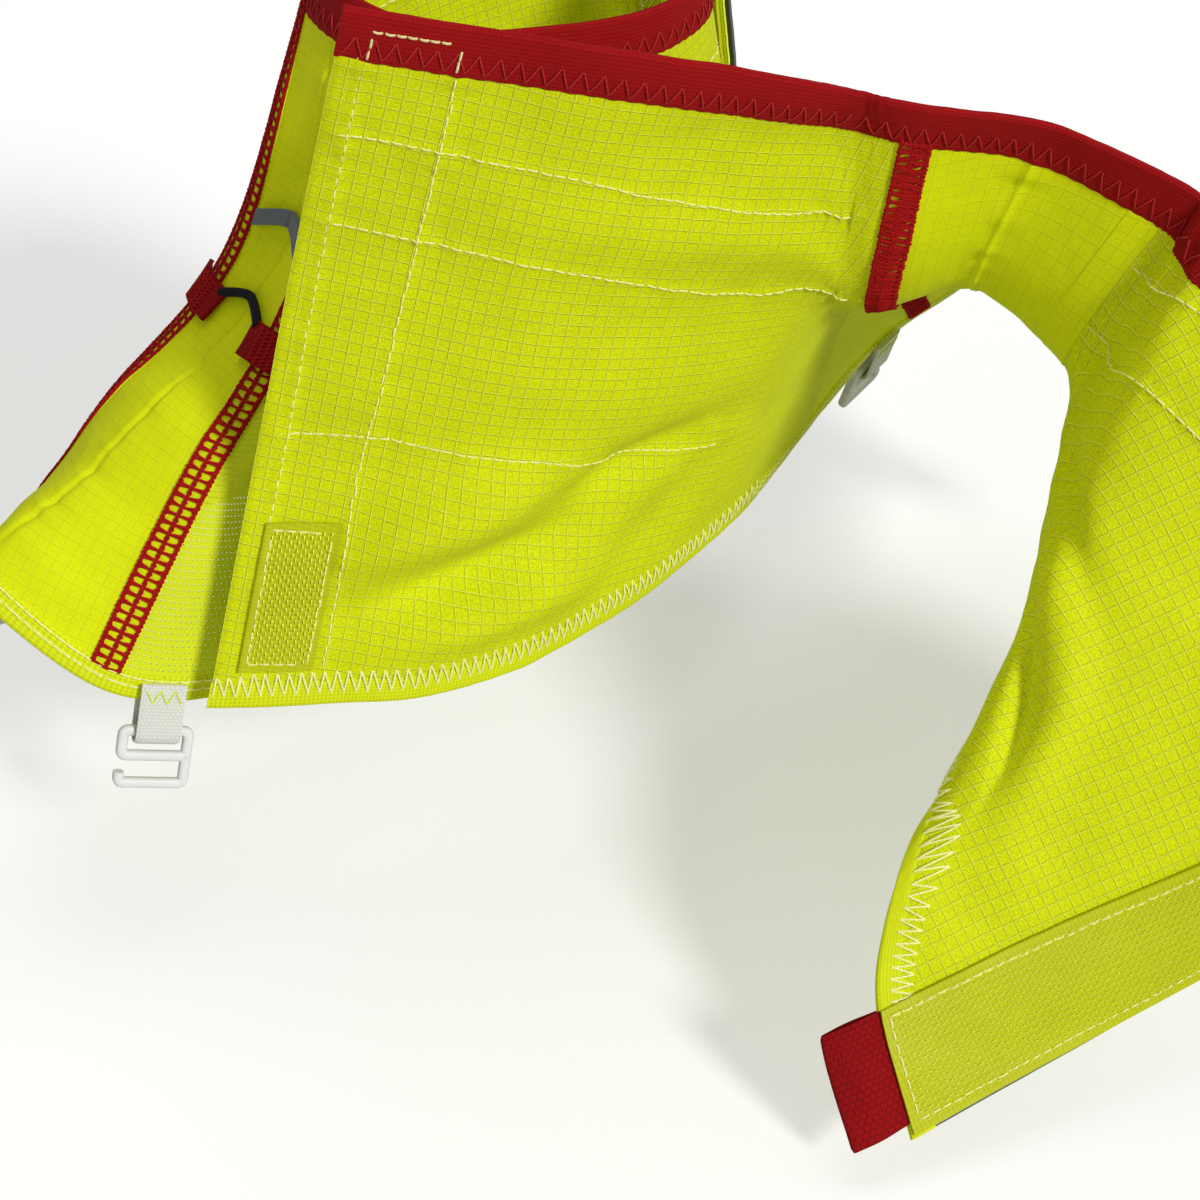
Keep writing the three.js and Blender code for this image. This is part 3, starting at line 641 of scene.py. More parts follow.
@dataclass
class Cloth:
    """A skin with its relief: creases, rows of sewing and crinkles, all in mm.

    Points, normals, relief and the lengths of a step in u and v are worked out once on
    a fine grid, and a place between its knots is the mean of four, weighted by distance.
    """

    skin: Skin
    creases: tuple[Crease, ...] = ()
    rows: tuple[Row, ...] = ()
    crinkle: float = 0.7
    seed: int = 3
    cell: float = 0.7
    below: float = -0.14
    above_top: float = 1.04
    beyond: float = 2.0
    table: Array = field(init=False)

    def __post_init__(self) -> None:
        """Fills the table: point, normal, relief and the two step lengths."""
        self.width = self.skin.knots[-1] + 2 * self.beyond
        nu = int(self.width / self.cell)
        nv = int(RISE * (self.above_top - self.below) / self.cell)
        u, v = np.meshgrid(np.linspace(-self.beyond, self.width - self.beyond, nu),
                           np.linspace(self.below, self.above_top, nv), indexing="ij")
        along, up = self.skin.steps(u, v)
        self.table = np.concatenate(
            [self.skin.point(u, v), unit(np.cross(up, along)), self.relief(u, v)[..., None],
             np.linalg.norm(along, axis=-1)[..., None], np.linalg.norm(up, axis=-1)[..., None]], -1)

    def look(self, u: Array, v: Array) -> Array:
        """The table's nine numbers at every place."""
        nu, nv = self.table.shape[:2]
        x = np.clip((u + self.beyond) / self.width * (nu - 1), 0, nu - 1.001)
        y = np.clip((v - self.below) / (self.above_top - self.below) * (nv - 1), 0, nv - 1.001)
        i, j = x.astype(int), y.astype(int)
        fx, fy = (x - i)[..., None], (y - j)[..., None]
        low = self.table[i, j] * (1 - fx) + self.table[i + 1, j] * fx
        high = self.table[i, j + 1] * (1 - fx) + self.table[i + 1, j + 1] * fx
        return low * (1 - fy) + high * fy

    def past(self, station: float, v: Array, mm: float | Array) -> Array:
        """u that lies mm beyond a station at height v."""
        v = np.asarray(v, float)
        return station + mm / self.look(np.full(v.shape, station), v)[..., 7]

    def above(self, u: Array, v0: float, mm: float | Array) -> Array:
        """v that lies mm above a height at u."""
        u = np.asarray(u, float)
        return v0 + mm / self.look(u, np.full(u.shape, v0))[..., 8]

    def relief(self, u: Array, v: Array) -> Array:
        """Height of the cloth over the skin, in mm."""
        x, y = u, v * RISE
        out = self.crinkle * (noise(x / 26, y / 22, self.seed)
                              + 0.35 * noise(x / 9, y / 11, self.seed + 1)
                              + 0.10 * noise(x / 3.2, y / 4, self.seed + 2))
        for piece in (*self.creases, *self.rows):
            out = out + piece.lift(u, v)
        return out

    def at(self, u: Array, v: Array, lift: Array | float = 0.0) -> tuple[Array, Array]:
        """Points that stand lift mm off the cloth, and their normals."""
        found = self.look(u, v)
        normal = unit(found[..., 3:6])
        return found[..., :3] + normal * (found[..., 6] + lift)[..., None], normal

    def plain(self, u: Array, v: Array) -> Array:
        """Points of the skin without its relief."""
        return self.look(u, v)[..., :3]

    def stitches(self, u: Array, v: Array, side: int, lift: Array | float, rise: float,
                 seed: int = 0, points: int = 6) -> tuple[Array, Array]:
        """Single stitches: arcs that leave the cloth, run over it and dive back in.

        Args:
            u: Start and end of each stitch, (n, 2).
            v: The same for v.
            side: 1 outside, -1 inside.
            lift: Height of the cloth's face over its middle, in mm.
            rise: Height of the arc over that.
            seed: Number that picks the small faults in the sewing.
            points: Points of each arc.

        Returns:
            Lines and normals, (n, points, 3).
        """
        t = np.linspace(0, 1, points)
        fault = np.random.default_rng(seed).normal(0, 0.12, (len(u), 1))
        uu = u[:, :1] + (u[:, 1:] - u[:, :1]) * t + fault
        vv = v[:, :1] + (v[:, 1:] - v[:, :1]) * t
        arc = lift - 0.25 + (rise + 0.25) * np.sin(np.pi * t) ** 0.5
        return self.at(uu, vv, side * np.broadcast_to(arc, uu.shape))

    def run(self, row: Row, pitch: float, share: float) -> tuple[Array, Array]:
        """Ends (n, 2) in u and v of straight stitches along a row, pitch mm apart."""
        u, v = row.path()
        length = np.linalg.norm(np.diff(self.plain(u, v), axis=0), axis=1)
        s = np.concatenate([[0], np.cumsum(length)])
        ends = np.arange(0, s[-1] - pitch, pitch)[:, None] + np.array([0, pitch * share])
        return np.interp(ends, s, u), np.interp(ends, s, v)

    def near(self, station: Array, v0: Array, across: Array, up: Array) -> tuple[Array, Array]:
        """u and v that lie so many mm across and up, square to each other, from a place."""
        u, v, across, up = (np.array(a, float) for a in
                            np.broadcast_arrays(station, v0, across, up))
        start = self.plain(u, v)
        along, rise = self.skin.steps(u, v)
        x = unit(along)
        y = unit(rise - (rise * x).sum(-1, keepdims=True) * x)
        goal = start + x * across[..., None] + y * up[..., None]
        for _ in range(5):
            along, rise = self.skin.steps(u, v)
            gap = goal - self.plain(u, v)
            a, b, c, d = ((p * q).sum(-1) for p in (along, rise) for q in (x, y))
            gx, gy = (gap * x).sum(-1), (gap * y).sum(-1)
            size = a * d - b * c
            u = u + np.clip((gx * d - gy * c) / size, -3.0, 3.0)
            v = v + np.clip((a * gy - b * gx) / size, -0.03, 0.03)
        return u, v

    def paced(self, start: float, end: float, base: float, pitch: float) -> Array:
        """Stations pitch mm apart along the line at height base."""
        u = np.linspace(start, end, 1200)
        line = self.plain(u, np.full(u.shape, base))
        s = np.concatenate([[0], np.linalg.norm(np.diff(line, axis=0), axis=1).cumsum()])
        return np.interp(np.arange(0, s[-1], pitch), s, u)

    def zigzag(self, stations: Array, low: float, high: float, base: float) -> tuple[Array, Array]:
        """Ends of a zigzag's legs; over the hem they stand square to it."""
        reach = np.where(np.arange(len(stations)) % 2, high, low)
        if base > 0.5:
            u, v = stations, self.above(stations, base, reach)
        else:
            u, v = self.near(stations, base, 0.0, reach)
        return (np.stack([u[:-1], u[1:]], 1), np.stack([v[:-1], v[1:]], 1))


# ---- One gaiter ----
class Side(Enum):
    """The two sides of a gaiter, named for their flap."""

    UNDER = -1
    OVER = 1

    @property
    def word(self) -> str:
        """Its word in a node's name."""
        return self.name.lower()


@dataclass
class Gaiter:
    """One gaiter: its cloth, the bodies its flaps ride on, and the sizes of its trims.

    Attributes:
        name: First word of its pieces' names.
        cloth: Its skin with the relief.
        wings: Body of each flap.
        rows: Rows of plain stitching on each flap.
        wall: Thickness of the panels, in mm.
        mesh_wall: Thickness of the mesh.
        turned: Thickness of a flap where its cloth is turned in.
        seam: Width of a covered seam.
        gusset: Width of a mesh gusset at the hem.
        gusset_top: Height v of its point.
        binding: Height of the top binding.
        hem: Height of the hem tape.
        tab_at: Height v of the tabs over the seams.
        band_at: Height v of the ankle band.
    """

    name: str
    cloth: Cloth
    wings: dict[Side, str]
    rows: dict[Side, tuple[Row, ...]] = field(default_factory=dict)
    wall: float = 0.8
    mesh_wall: float = 0.5
    turned: float = 1.5
    seam: float = 7.0
    gusset: float = 42.0
    gusset_top: float = 0.54
    binding: float = 11.0
    hem: float = 6.0
    tab_at: float = 0.6
    band_at: float = 0.72

    @property
    def skin(self) -> Skin:
        """The gaiter's surface."""
        return self.cloth.skin

    # Edges of patches
    def aside(self, station: str, mm: float) -> Edge:
        """Edge that runs mm beyond a rib."""
        return lambda v: self.cloth.past(self.skin.u(station), v, mm)

    def foot(self, u: Array) -> Array:
        """Foot of the panels, a little inside the hem."""
        return self.cloth.above(u, 0.0, self.hem - 1.0)

    def head(self, u: Array) -> Array:
        """Head of the panels, a little inside the top binding."""
        return self.cloth.above(u, 1.0, 1.5 - self.binding)

    def beside_gusset(self, side: Side, more: float = 0.0) -> Edge:
        """Edge of the side panel, where the gusset and then the seam meet it."""
        way = side.value

        def edge(v: Array) -> Array:
            """u at height v: beyond the seam by what the gusset is wide there."""
            wide = self.gusset * np.maximum(0, 1 - v / self.gusset_top)
            return self.cloth.past(self.skin.u(f"{side.word}_seam"), v,
                                  way * (self.seam / 2 + more + wide))

        return edge

    # Finishing a piece
    def done(self, obj: bpy.types.Object, slot: str, nodes: tuple[str, ...] = (),
             body: str = "fronts", wing: Side | None = None) -> bpy.types.Object:
        """Hides the CAD nodes that a piece stands for and hangs it on its body; one that crosses a
        flap's fold is baked in place, not bent.

        Args:
            obj: The piece.
            slot: Not used.
            nodes: CAD nodes of this gaiter that it stands for.
            body: Body that it rides on.
            wing: Flap whose fold it crosses, if it does.

        Returns:
            The piece.
        """
        if nodes:
            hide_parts(*[f"{self.name}_{n}" for n in nodes])
        if wing and self.wings[wing] != "fronts":
            start, end = self.fold(wing)
            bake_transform(obj)
        else:
            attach(obj, body)
        LOG.info("%s: %d faces", obj.name, len(obj.data.polygons))
        return obj

    def fold(self, side: Side, reach: float = 6.0) -> tuple[list[float], list[float]]:
        """Two points either side of a fold line, square to it, in metres."""
        station = self.skin.u(f"{side.word}_fold")
        hem, top = (self.skin.point(np.array([station]), np.array([v]))[0] for v in (0.0, 1.0))
        axis = unit(top - hem)
        along, _ = self.skin.steps(np.full(5, station), np.linspace(0, 1, 5))
        across = unit((unit(along - (along @ axis)[:, None] * axis)).mean(axis=0)) * side.value
        middle = (hem + top) / 2
        return ((middle - across * reach) * MM).tolist(), ((middle + across * reach) * MM).tolist()

    # Pieces
    def patch(self, name: str, finish: Finish, edges: tuple[Edge, Edge, Edge, Edge],
              size: tuple[int, int], wall: float, lift: float = 0.0,
              turned: tuple[bool, bool] = (False, False),
              ) -> tuple[bpy.types.Object, tuple[float, float, float]]:
        """A panel of cloth: the patch's grid as a shell, thicker along a turned edge.

        Args:
            name: Name of the piece.
            finish: Its material.
            edges: Sides, foot and head of the patch.
            size: Points across and up.
            wall: Thickness in mm.
            lift: Height of its middle over the skin, in mm.
            turned: Whether the first and the last side are turned and sewn.

        Returns:
            The piece, and its greatest width, greatest height and area when cut flat, in
            metres and square metres.
        """
        s, t = np.linspace(0, 1, size[0]), np.linspace(0, 1, size[1])
        u, v = self.skin.patch(edges, s, t)
        points, normals = self.cloth.at(u, v, lift)
        plain = self.cloth.plain(u, v)
        wide = np.linalg.norm(np.diff(plain, axis=0, prepend=plain[:1]), axis=2).cumsum(0)
        edge = plain[0] if turned[0] or not turned[1] else plain[-1]
        chord = unit(edge[-1] - edge[0])
        tall = plain @ chord
        step = np.diff(plain, axis=0, prepend=plain[:1])
        across = np.sqrt(np.maximum((step**2).sum(-1) - (step @ chord) ** 2, 0)).cumsum(0)
        across = across if turned[0] or not turned[1] else across - across[-1:]
        uv = np.stack([across, tall], -1) * MM
        from_edge = np.full(u.shape, 99.0)
        if turned[0]:
            from_edge = np.minimum(from_edge, wide)
        if turned[1]:
            from_edge = np.minimum(from_edge, wide[-1:] - wide)
        thick = wall + (self.turned - wall) * 0.5 * (1 - np.tanh((from_edge - 6.0) / 0.5))
        thick = thick * np.clip(0.35 + 0.65 * np.sqrt(np.clip(from_edge, 0, 0.6) / 0.6), 0, 1)
        d1, d2 = plain[1:, 1:] - plain[:-1, :-1], plain[1:, :-1] - plain[:-1, 1:]
        high = np.linalg.norm(np.diff(plain, axis=1), axis=2).sum(axis=1)
        cut = (float(wide[-1].max()) * MM, float(high.max()) * MM,
               float(np.linalg.norm(np.cross(d1, d2), axis=2).sum() / 2) * MM**2)
        net = shell(points, normals, np.where(from_edge > 50, wall, thick), uv)
        return net.piece(name, finish.material()), cut

    def wing(self, side: Side) -> None:
        """Side panel and flap in one, from the gusset to the free edge."""
        inner, outer = self.beside_gusset(side, -0.8), self.aside(f"{side.word}_edge", 0.0)
        first, last = (outer, inner) if side is Side.UNDER else (inner, outer)
        obj, cut = self.patch(
            f"{self.name}_{side.word}_wing_cloth", RIPSTOP,
            (first, last, self.foot, self.head), (190, 170), self.wall,
            turned=(side is Side.UNDER, side is Side.OVER))
        self.done(obj, "ripstop", (f"{side.word}_flap", f"{side.word}_side"), wing=side)

    def front(self, side: Side) -> None:
        """Half of the stretch front panel, from the centre seam to the covered seam."""
        way = side.value
        centre = self.aside("centre", -way * 0.15)
        seam = self.aside(f"{side.word}_seam", -way * (self.seam / 2 - 1.0))
        first, last = (seam, centre) if side is Side.UNDER else (centre, seam)
        obj, cut = self.patch(
            f"{self.name}_{side.word}_front_cloth", STRETCH,
            (first, last, self.foot, self.head), (60, 170), self.wall)
        self.done(obj, "stretch", (f"{side.word}_front",))

    def mesh(self, side: Side) -> None:
        """Mesh gusset: a lattice of rounded cells, each a ring of cloth round a hole."""
        way = side.value
        seam = self.aside(f"{side.word}_seam", way * (self.seam / 2 - 0.8))
        edge = self.beside_gusset(side, 0.6)
        first, last = (edge, seam) if side is Side.UNDER else (seam, edge)
        columns, rows = 30, 46
        turn = np.linspace(0, 2 * np.pi, 8, endpoint=False)
        border = np.stack([np.cos(turn), np.sin(turn)], -1)
        border = border / np.abs(border).max(axis=1, keepdims=True) * 0.5
        hole_x, hole_y = 0.17, 0.15     # half a hole, as shares of a cell
        hole = np.stack([hole_x * np.cos(turn), hole_y * np.sin(turn)], -1)
        i, j = np.meshgrid(np.arange(columns), np.arange(rows), indexing="ij")
        middle = np.stack([i + 0.5, j + 0.5], -1).reshape(-1, 1, 2)
        cells = np.concatenate([middle + border, middle + hole], axis=1)
        cells[..., 0] += np.where(j.reshape(-1, 1) % 2, 0.25, -0.25)
        cells, where = np.unique(np.round(cells.reshape(-1, 2), 6), axis=0, return_inverse=True)
        cells = cells / [columns, rows]
        number = where.reshape(-1, 16)
        ring, inner = number[:, :8], number[:, 8:]
        quads = np.stack([ring, np.roll(ring, -1, 1), np.roll(inner, -1, 1), inner], -1)
        top = self.gusset_top * 0.96
        seam_u = self.skin.u(f"{side.word}_seam")
        low = float(self.cloth.above(np.array([seam_u]), 0.0, self.hem - 1.0)[0])
        v = low + (top - low) * cells[:, 1]
        u = first(v) + (last(v) - first(v)) * cells[:, 0]
        points, normals = self.cloth.at(u, v)
        net = lattice(points, normals, quads.reshape(-1, 4), self.mesh_wall,
                      np.stack([u, v * RISE], -1) * MM)
        obj = net.piece(f"{self.name}_{side.word}_gusset_cloth", MESH.material())
        line = self.cloth.plain(np.full(50, seam_u), np.linspace(low, top, 50))
        self.done(obj, "mesh", (f"{side.word}_gusset",))

    def covered_seam(self, side: Side) -> None:
        """Covered seam: a strip of cloth under three chains of looped thread and rungs."""
        station = f"{side.word}_seam"
        half = self.seam / 2
        edges = (self.aside(station, -half), self.aside(station, half), self.foot, self.head)
        strip, _ = self.patch(f"{self.name}_{side.word}_seam_strip", STRETCH, edges, (7, 120), 1.2)
        self.done(strip, "red_thread", (f"{side.word}_seam",))
        v0 = float(self.foot(np.array([self.skin.u(station)]))[0])
        v1 = float(self.head(np.array([self.skin.u(station)]))[0])
        v = np.linspace(v0, v1, 3000)
        line = self.cloth.plain(np.full(v.shape, self.skin.u(station)), v)
        s = np.concatenate([[0], np.linalg.norm(np.diff(line, axis=0), axis=1).cumsum()])
        n = int(s[-1] / 0.35)
        v = np.interp(np.linspace(0, s[-1], n), s, v)
        s = np.linspace(0, s[-1], n)
        rng = np.random.default_rng(5)
        nets = []
        for face in (1, -1) if side is Side.UNDER else (1,):
            fuzz = 0.12 if face < 0 else 0.05
            # Each thread: mm beside the seam, swing and period in mm, and phase in turns.
            chains = (-half + 0.5, 0.0, half - 0.5)
            lines = [(off, 0.38, 2.2, 0.25 * k) for k, off in enumerate(chains)]
            lines += [(off, 0.38, 2.2, 0.5 + 0.25 * k) for k, off in enumerate(chains)]
            lines += [(0.0, half - 0.4, LADDER_STEP, phase) for phase in (0.0, 0.5)]
            if face < 0:
                lines += [(0.0, half - 0.5, 1.9, 0.2), (0.0, half - 0.6, 2.3, 0.7)]
            for off, swing, period, phase in lines:
                turn = 2 * np.pi * (s / period + phase)
                wave = np.arcsin(0.97 * np.sin(turn)) / 1.33
                if period == LADDER_STEP:
                    wave = np.tanh(4 * np.sin(turn))
                u = self.cloth.past(self.skin.u(station), v,
                                   off + swing * wave + rng.normal(0, fuzz, n))
                high = 0.6 + 0.30 + 0.12 * np.cos(4 * np.pi * (s / period + phase))
                high = high + rng.normal(0, fuzz * 0.5, n)
                points, normals = self.cloth.at(u, v, face * high)
                nets.append(strands(points[None], normals[None], 0.3, 5))
        obj = Net.joined(nets).piece(f"{self.name}_{side.word}_seam_cover", RED_THREAD.material())
        self.done(obj, "red_thread")

    def trim(self, part: str, first: Edge, last: Edge, columns: int, top: bool,
             body: str, wing: Side | None) -> None:
        """Elastic folded over an edge: a hairpin profile carried along the edge.

        Args:
            part: Its word in the CAD node's name.
            first: Edge where it starts.
            last: Edge where it ends.
            columns: Points along it.
            top: Whether it is the top binding; the hem if not.
            body: Body that it rides on.
            wing: Flap whose fold it crosses.
        """
        tall = self.binding if top else self.hem
        half = 1.0 if top else 0.9
        turn = np.linspace(0, np.pi, 7)
        fold_w, fold_h = half * (1 - np.sin(turn)), half * np.cos(turn)
        down = np.linspace(half + 0.6, tall - 0.5, 7 if top else 4)
        bulge = half + 0.12 * np.sin(np.linspace(0, np.pi, len(down))) - 0.22 * (down > tall * 0.45)
        w = np.concatenate([[tall, tall - 0.15], down[::-1], fold_w, down, [tall - 0.15, tall]])
        h = np.concatenate([[0.2, half - 0.4], bulge[::-1], fold_h, -bulge, [0.4 - half, -0.2]])
        base, way = (1.0, -1) if top else (0.0, 1)
        t = np.linspace(0, 1, columns)
        guess = first(np.full(t.shape, base)) * (1 - t) + last(np.full(t.shape, base)) * t
        ww = np.broadcast_to(w, (columns, len(w)))
        uu = np.broadcast_to(guess[:, None], ww.shape)
        scallop = 0.12 * np.cos(2 * np.pi * uu / 4.0) * (ww > tall - 0.3)
        v = self.cloth.above(uu, base, way * (ww + scallop))
        u0, u1 = first(v), last(v)
        u = u0 + (u1 - u0) * t[:, None]
        points, normals = self.cloth.at(u, v)
        points = points + normals * (h + 0.05 * noise(u / 2.5, ww / 3, 21))[..., None]
        around = np.concatenate([[0], np.hypot(np.diff(w), np.diff(h)).cumsum()])
        uv = np.stack([np.broadcast_to(around, u.shape), u], -1) * MM
        rings = points if top else points[:, ::-1]
        uv = uv if top else uv[:, ::-1]
        finish = RED_ELASTIC if top else YELLOW_ELASTIC
        kind = "binding" if top else "hem"
        obj = tube(rings, uv).piece(f"{self.name}_{part}_{kind}_elastic", finish.material())
        self.done(obj, "red_elastic" if top else "yellow_elastic",
                  (f"{part}_{kind}",), body, wing)

    def trims(self) -> None:
        """Top binding and hem, each in three lengths that meet just in front of the folds."""
        under, over = self.wings[Side.UNDER], self.wings[Side.OVER]
        joint = 10.0
        spans = [
            ("under", self.aside("under_edge", -0.3), self.aside("under_fold", joint), 150,
             under, Side.UNDER),
            ("front", self.aside("under_fold", joint), self.aside("over_fold", -joint), 190,
             "fronts", None),
            ("over", self.aside("over_fold", -joint), self.aside("over_edge", 0.3), 150,
             over, Side.OVER),
        ]
        for part, first, last, columns, body, wing in spans:
            for top in (True, False):
                self.trim(part, first, last, columns, top, body, wing)

    def sewing(self) -> None:
        """Zigzags on the binding and over the hem, and straight rows on flaps and front."""
        skin, cloth = self.skin, self.cloth
        edge = {Side.UNDER: skin.u("under_edge") + 1.0, Side.OVER: skin.u("over_edge") - 1.0}
        folds = {Side.UNDER: skin.u("under_fold") + 10.0, Side.OVER: skin.u("over_fold") - 10.0}
        spans = [("under", edge[Side.UNDER], folds[Side.UNDER], Side.UNDER),
                 ("front", folds[Side.UNDER], folds[Side.OVER], None),
                 ("over", folds[Side.OVER], edge[Side.OVER], Side.OVER)]
        for part, a, b, wing in spans:
            for kind, pitch, low, high, base, lifts, finish, radius in (
                    ("binding", 2.0, -9.9, -5.6, 1.0, (1.0, 1.0), PINK_THREAD, 0.17),
                    ("hem", 1.3, 3.0, 8.0, 0.0, (1.0, 0.45), PALE_THREAD, 0.22)):
                stations = cloth.paced(a, b, base, pitch)
                odd = np.arange(len(stations) - 1)[:, None] % 2
                t = np.linspace(0, 1, 6)
                share = np.where(odd, 1 - t, t)
                lift = lifts[0] + (lifts[1] - lifts[0]) * share
                nets = []
                for face in (1, -1):
                    if kind == "hem" and wing is None:
                        for k, mm in enumerate((3.0, 5.0)):
                            row = Row(tuple(stations), tuple(cloth.above(stations, 0.0, mm)))
                            u, v = cloth.run(row, STITCH, SHOWN)
                            lines, normals = cloth.stitches(u, v, face, 0.9, 0.2, k)
                            nets.append(strands(lines, normals, FINE_THREAD))
                        continue
                    u, v = cloth.zigzag(stations, low, high, base)
                    lines, normals = cloth.stitches(u, v, face, lift, 0.22, 7)
                    nets.append(strands(lines, normals, radius))
                obj = Net.joined(nets).piece(f"{self.name}_{part}_{kind}_zigzag", finish.material())
                self.done(obj, "red_elastic" if kind == "binding" else "yellow_elastic", wing=wing)
        for side, rows in self.rows.items():
            nets = []
            for k, row in enumerate(rows):
                u, v = cloth.run(row, STITCH, SHOWN)
                for face in (1, -1):
                    lines, normals = cloth.stitches(u, v, face, self.wall / 2, 0.2, k)
                    nets.append(strands(lines, normals, FINE_THREAD))
            obj = Net.joined(nets).piece(f"{self.name}_{side.word}_flap_stitches",
                                         PALE_THREAD.material())
            self.done(obj, "ripstop", wing=side)

    def box_stitch(self) -> None:
        """Cream box that locks the corner of the top binding on the under flap."""
        rows = (Row((6.0, 23.5), (0.972, 0.972)), Row((0.93, 0.972), (6.0, 6.0), False),
                Row((0.93, 0.972), (23.5, 23.5), False))
        nets = []
        for k, row in enumerate(rows):
            u, v = self.cloth.run(row, 2.2, 0.9)
            for face in (1, -1):
                lines, normals = self.cloth.stitches(u, v, face, 1.0, 0.3, 20 + k)
                nets.append(strands(lines, normals, 0.26))
        obj = Net.joined(nets).piece(f"{self.name}_binding_box_stitch", CREAM_THREAD.material())
        self.done(obj, "red_elastic", body=self.wings[Side.UNDER])

    def tape(self, part: str, finish: Finish, slot: str, side: Side, span: tuple[float, float],
             face: int, body: str, heights: tuple[float, float] | None = None,
             wall: float = 0.9, border: float = 1.6, foot_at: float | None = None,
             rise: float = 0.0) -> None:
        """A strip sewn on a flap beside its free edge, with hooks or loops if it has them.

        Args:
            part: Its word in the CAD node's name.
            finish: Its material.
            slot: Its slot.
            side: Flap that it is on.
            span: Nearest and furthest mm from the free edge.
            face: 1 for outside, -1 for inside.
            body: Body that it rides on.
            heights: Foot and head in mm above the hem, or None for the whole flap.
            wall: Thickness in mm.
            border: How far the stitches lie from its edges, in mm.
            foot_at: Height of its foot in mm above the hem, or None to stop at the hem tape.
            rise: How much higher it lies, to pass over the hem tape, in mm.
        """
        way = -side.value
        near, far = (self.aside(f"{side.word}_edge", way * mm) for mm in span)
        first, last = (near, far) if side is Side.UNDER else (far, near)
        foot, head = self.foot, self.head
        if heights:
            foot, head = (lambda u, mm=mm: self.cloth.above(u, 0.0, mm) for mm in heights)
        if foot_at is not None:
            foot = lambda u: self.cloth.above(u, 0.0, foot_at)
        lift = face * (self.turned / 2 + wall / 2 + 0.05 + rise)
        obj, _ = self.patch(f"{self.name}_{part}_tape", finish,
                            (first, last, foot, head), (30, 150), wall, lift)
        self.done(obj, slot, (part,), body)
        if finish in (HOOK_TAPE, LOOP_TAPE):
            self.fastener(part, finish, slot, (first, last, foot, head), lift, face, wall, body)
        rows = []
        for inset in (border, span[1] - span[0] - border):
            v = np.linspace(0.0, 1.0, 60)
            u = self.aside(f"{side.word}_edge", way * (span[0] + inset))(v)
            low, high = float(foot(u[:1])[0]) + 0.01, float(head(u[-1:])[0]) - 0.008
            keep = (v > low) & (v < high)
            vs = np.concatenate([[low], v[keep], [high]])
            rows.append(Row(tuple(vs), tuple(np.interp(vs, v, u)), False))
        if heights or foot_at is not None:
            low, high = rows[0].stations[0], rows[0].stations[-1]
            for place, k in ((low, 0), (high, -1))[:2 if heights else 1]:
                ends = sorted(r.places[k] for r in rows[:2])
                rows.append(Row(tuple(ends), (place, place)))
        nets = []
        for k, row in enumerate(rows):
            u, v = self.cloth.run(row, STITCH, SHOWN)
            lines, normals = self.cloth.stitches(u, v, face, abs(lift) + wall / 2, 0.16, 40 + k)
            nets.append(strands(lines, normals, 0.2))
        obj = Net.joined(nets).piece(f"{self.name}_{part}_stitches", PALE_THREAD.material())
        self.done(obj, slot, body=body)

    def fastener(self, part: str, finish: Finish, slot: str, edges: tuple[Edge, Edge, Edge, Edge],
                 lift: float, face: int, wall: float, body: str) -> None:
        """Rows of tiny moulded hooks, or of brushed loops, on the face of a tape.

        Args:
            part: Word of the tape.
            finish: Its material.
            slot: Its slot.
            edges: Edges of the tape.
            lift: Height of the tape's middle, in mm.
            face: 1 for outside, -1 for inside.
            wall: Thickness of the tape.
            body: Body that it rides on.
        """
        hooks = finish is HOOK_TAPE
        middle = self.skin.patch(edges, np.array([0.0, 1.0]), np.array([0.0, 0.5, 1.0]))
        corner = self.skin.point(*middle)
        wide = np.linalg.norm(corner[1, 1] - corner[0, 1])
        tall = (np.linalg.norm(corner[0, 2] - corner[0, 1])
                + np.linalg.norm(corner[0, 1] - corner[0, 0]))
        pitch = 1.5 if hooks else 1.15
        closer, bare = 0.64, 2.2    # rows up the tape to rows across it; mm left bare at an edge
        nu, nv = int((wide - 4.0) / pitch), int((tall - 4.0) / (pitch * closer))
        s = np.linspace(bare / wide, 1 - bare / wide, nu)
        t = np.linspace(bare / tall, 1 - bare / tall, nv)
        u, v = self.skin.patch(edges, s, t)
        stagger = np.where(np.arange(nv) % 2, 0.25, -0.25) * pitch
        u = (u + stagger).ravel()
        v = v.ravel()
        rng = np.random.default_rng(9)
        if not hooks:
            u, v = u + rng.normal(0, 0.3, u.shape), v + rng.normal(0, 0.3 / RISE, v.shape)
        turn = np.linspace(0.15 * np.pi, 1.1 * np.pi, 4) if hooks else np.linspace(0, np.pi, 5)
        radius = 0.36 if hooks else 0.5
        across = radius * np.cos(turn) + (rng.normal(0, 0.2, (len(u), 1)) if not hooks else 0)
        high = abs(lift) + wall / 2 - 0.1 + (0.55 if hooks else 0.45) * np.sin(turn)
        uu = u[:, None] + np.zeros_like(across)
        vv = v[:, None] + across / 150
        if not hooks:
            uu = uu + across * rng.normal(0, 0.9, (len(u), 1))
        lines, normals = self.cloth.at(uu, vv, face * np.broadcast_to(high, uu.shape))
        side = unit(np.cross(normals, np.gradient(lines, axis=1)))
        obj = strands(lines, np.cross(np.gradient(lines, axis=1), side),
                      0.16 if hooks else 0.12, 3).piece(
            f"{self.name}_{part}_{'hooks' if hooks else 'loops'}",
            (HOOKS if hooks else finish).material())
        self.done(obj, slot, body=body)

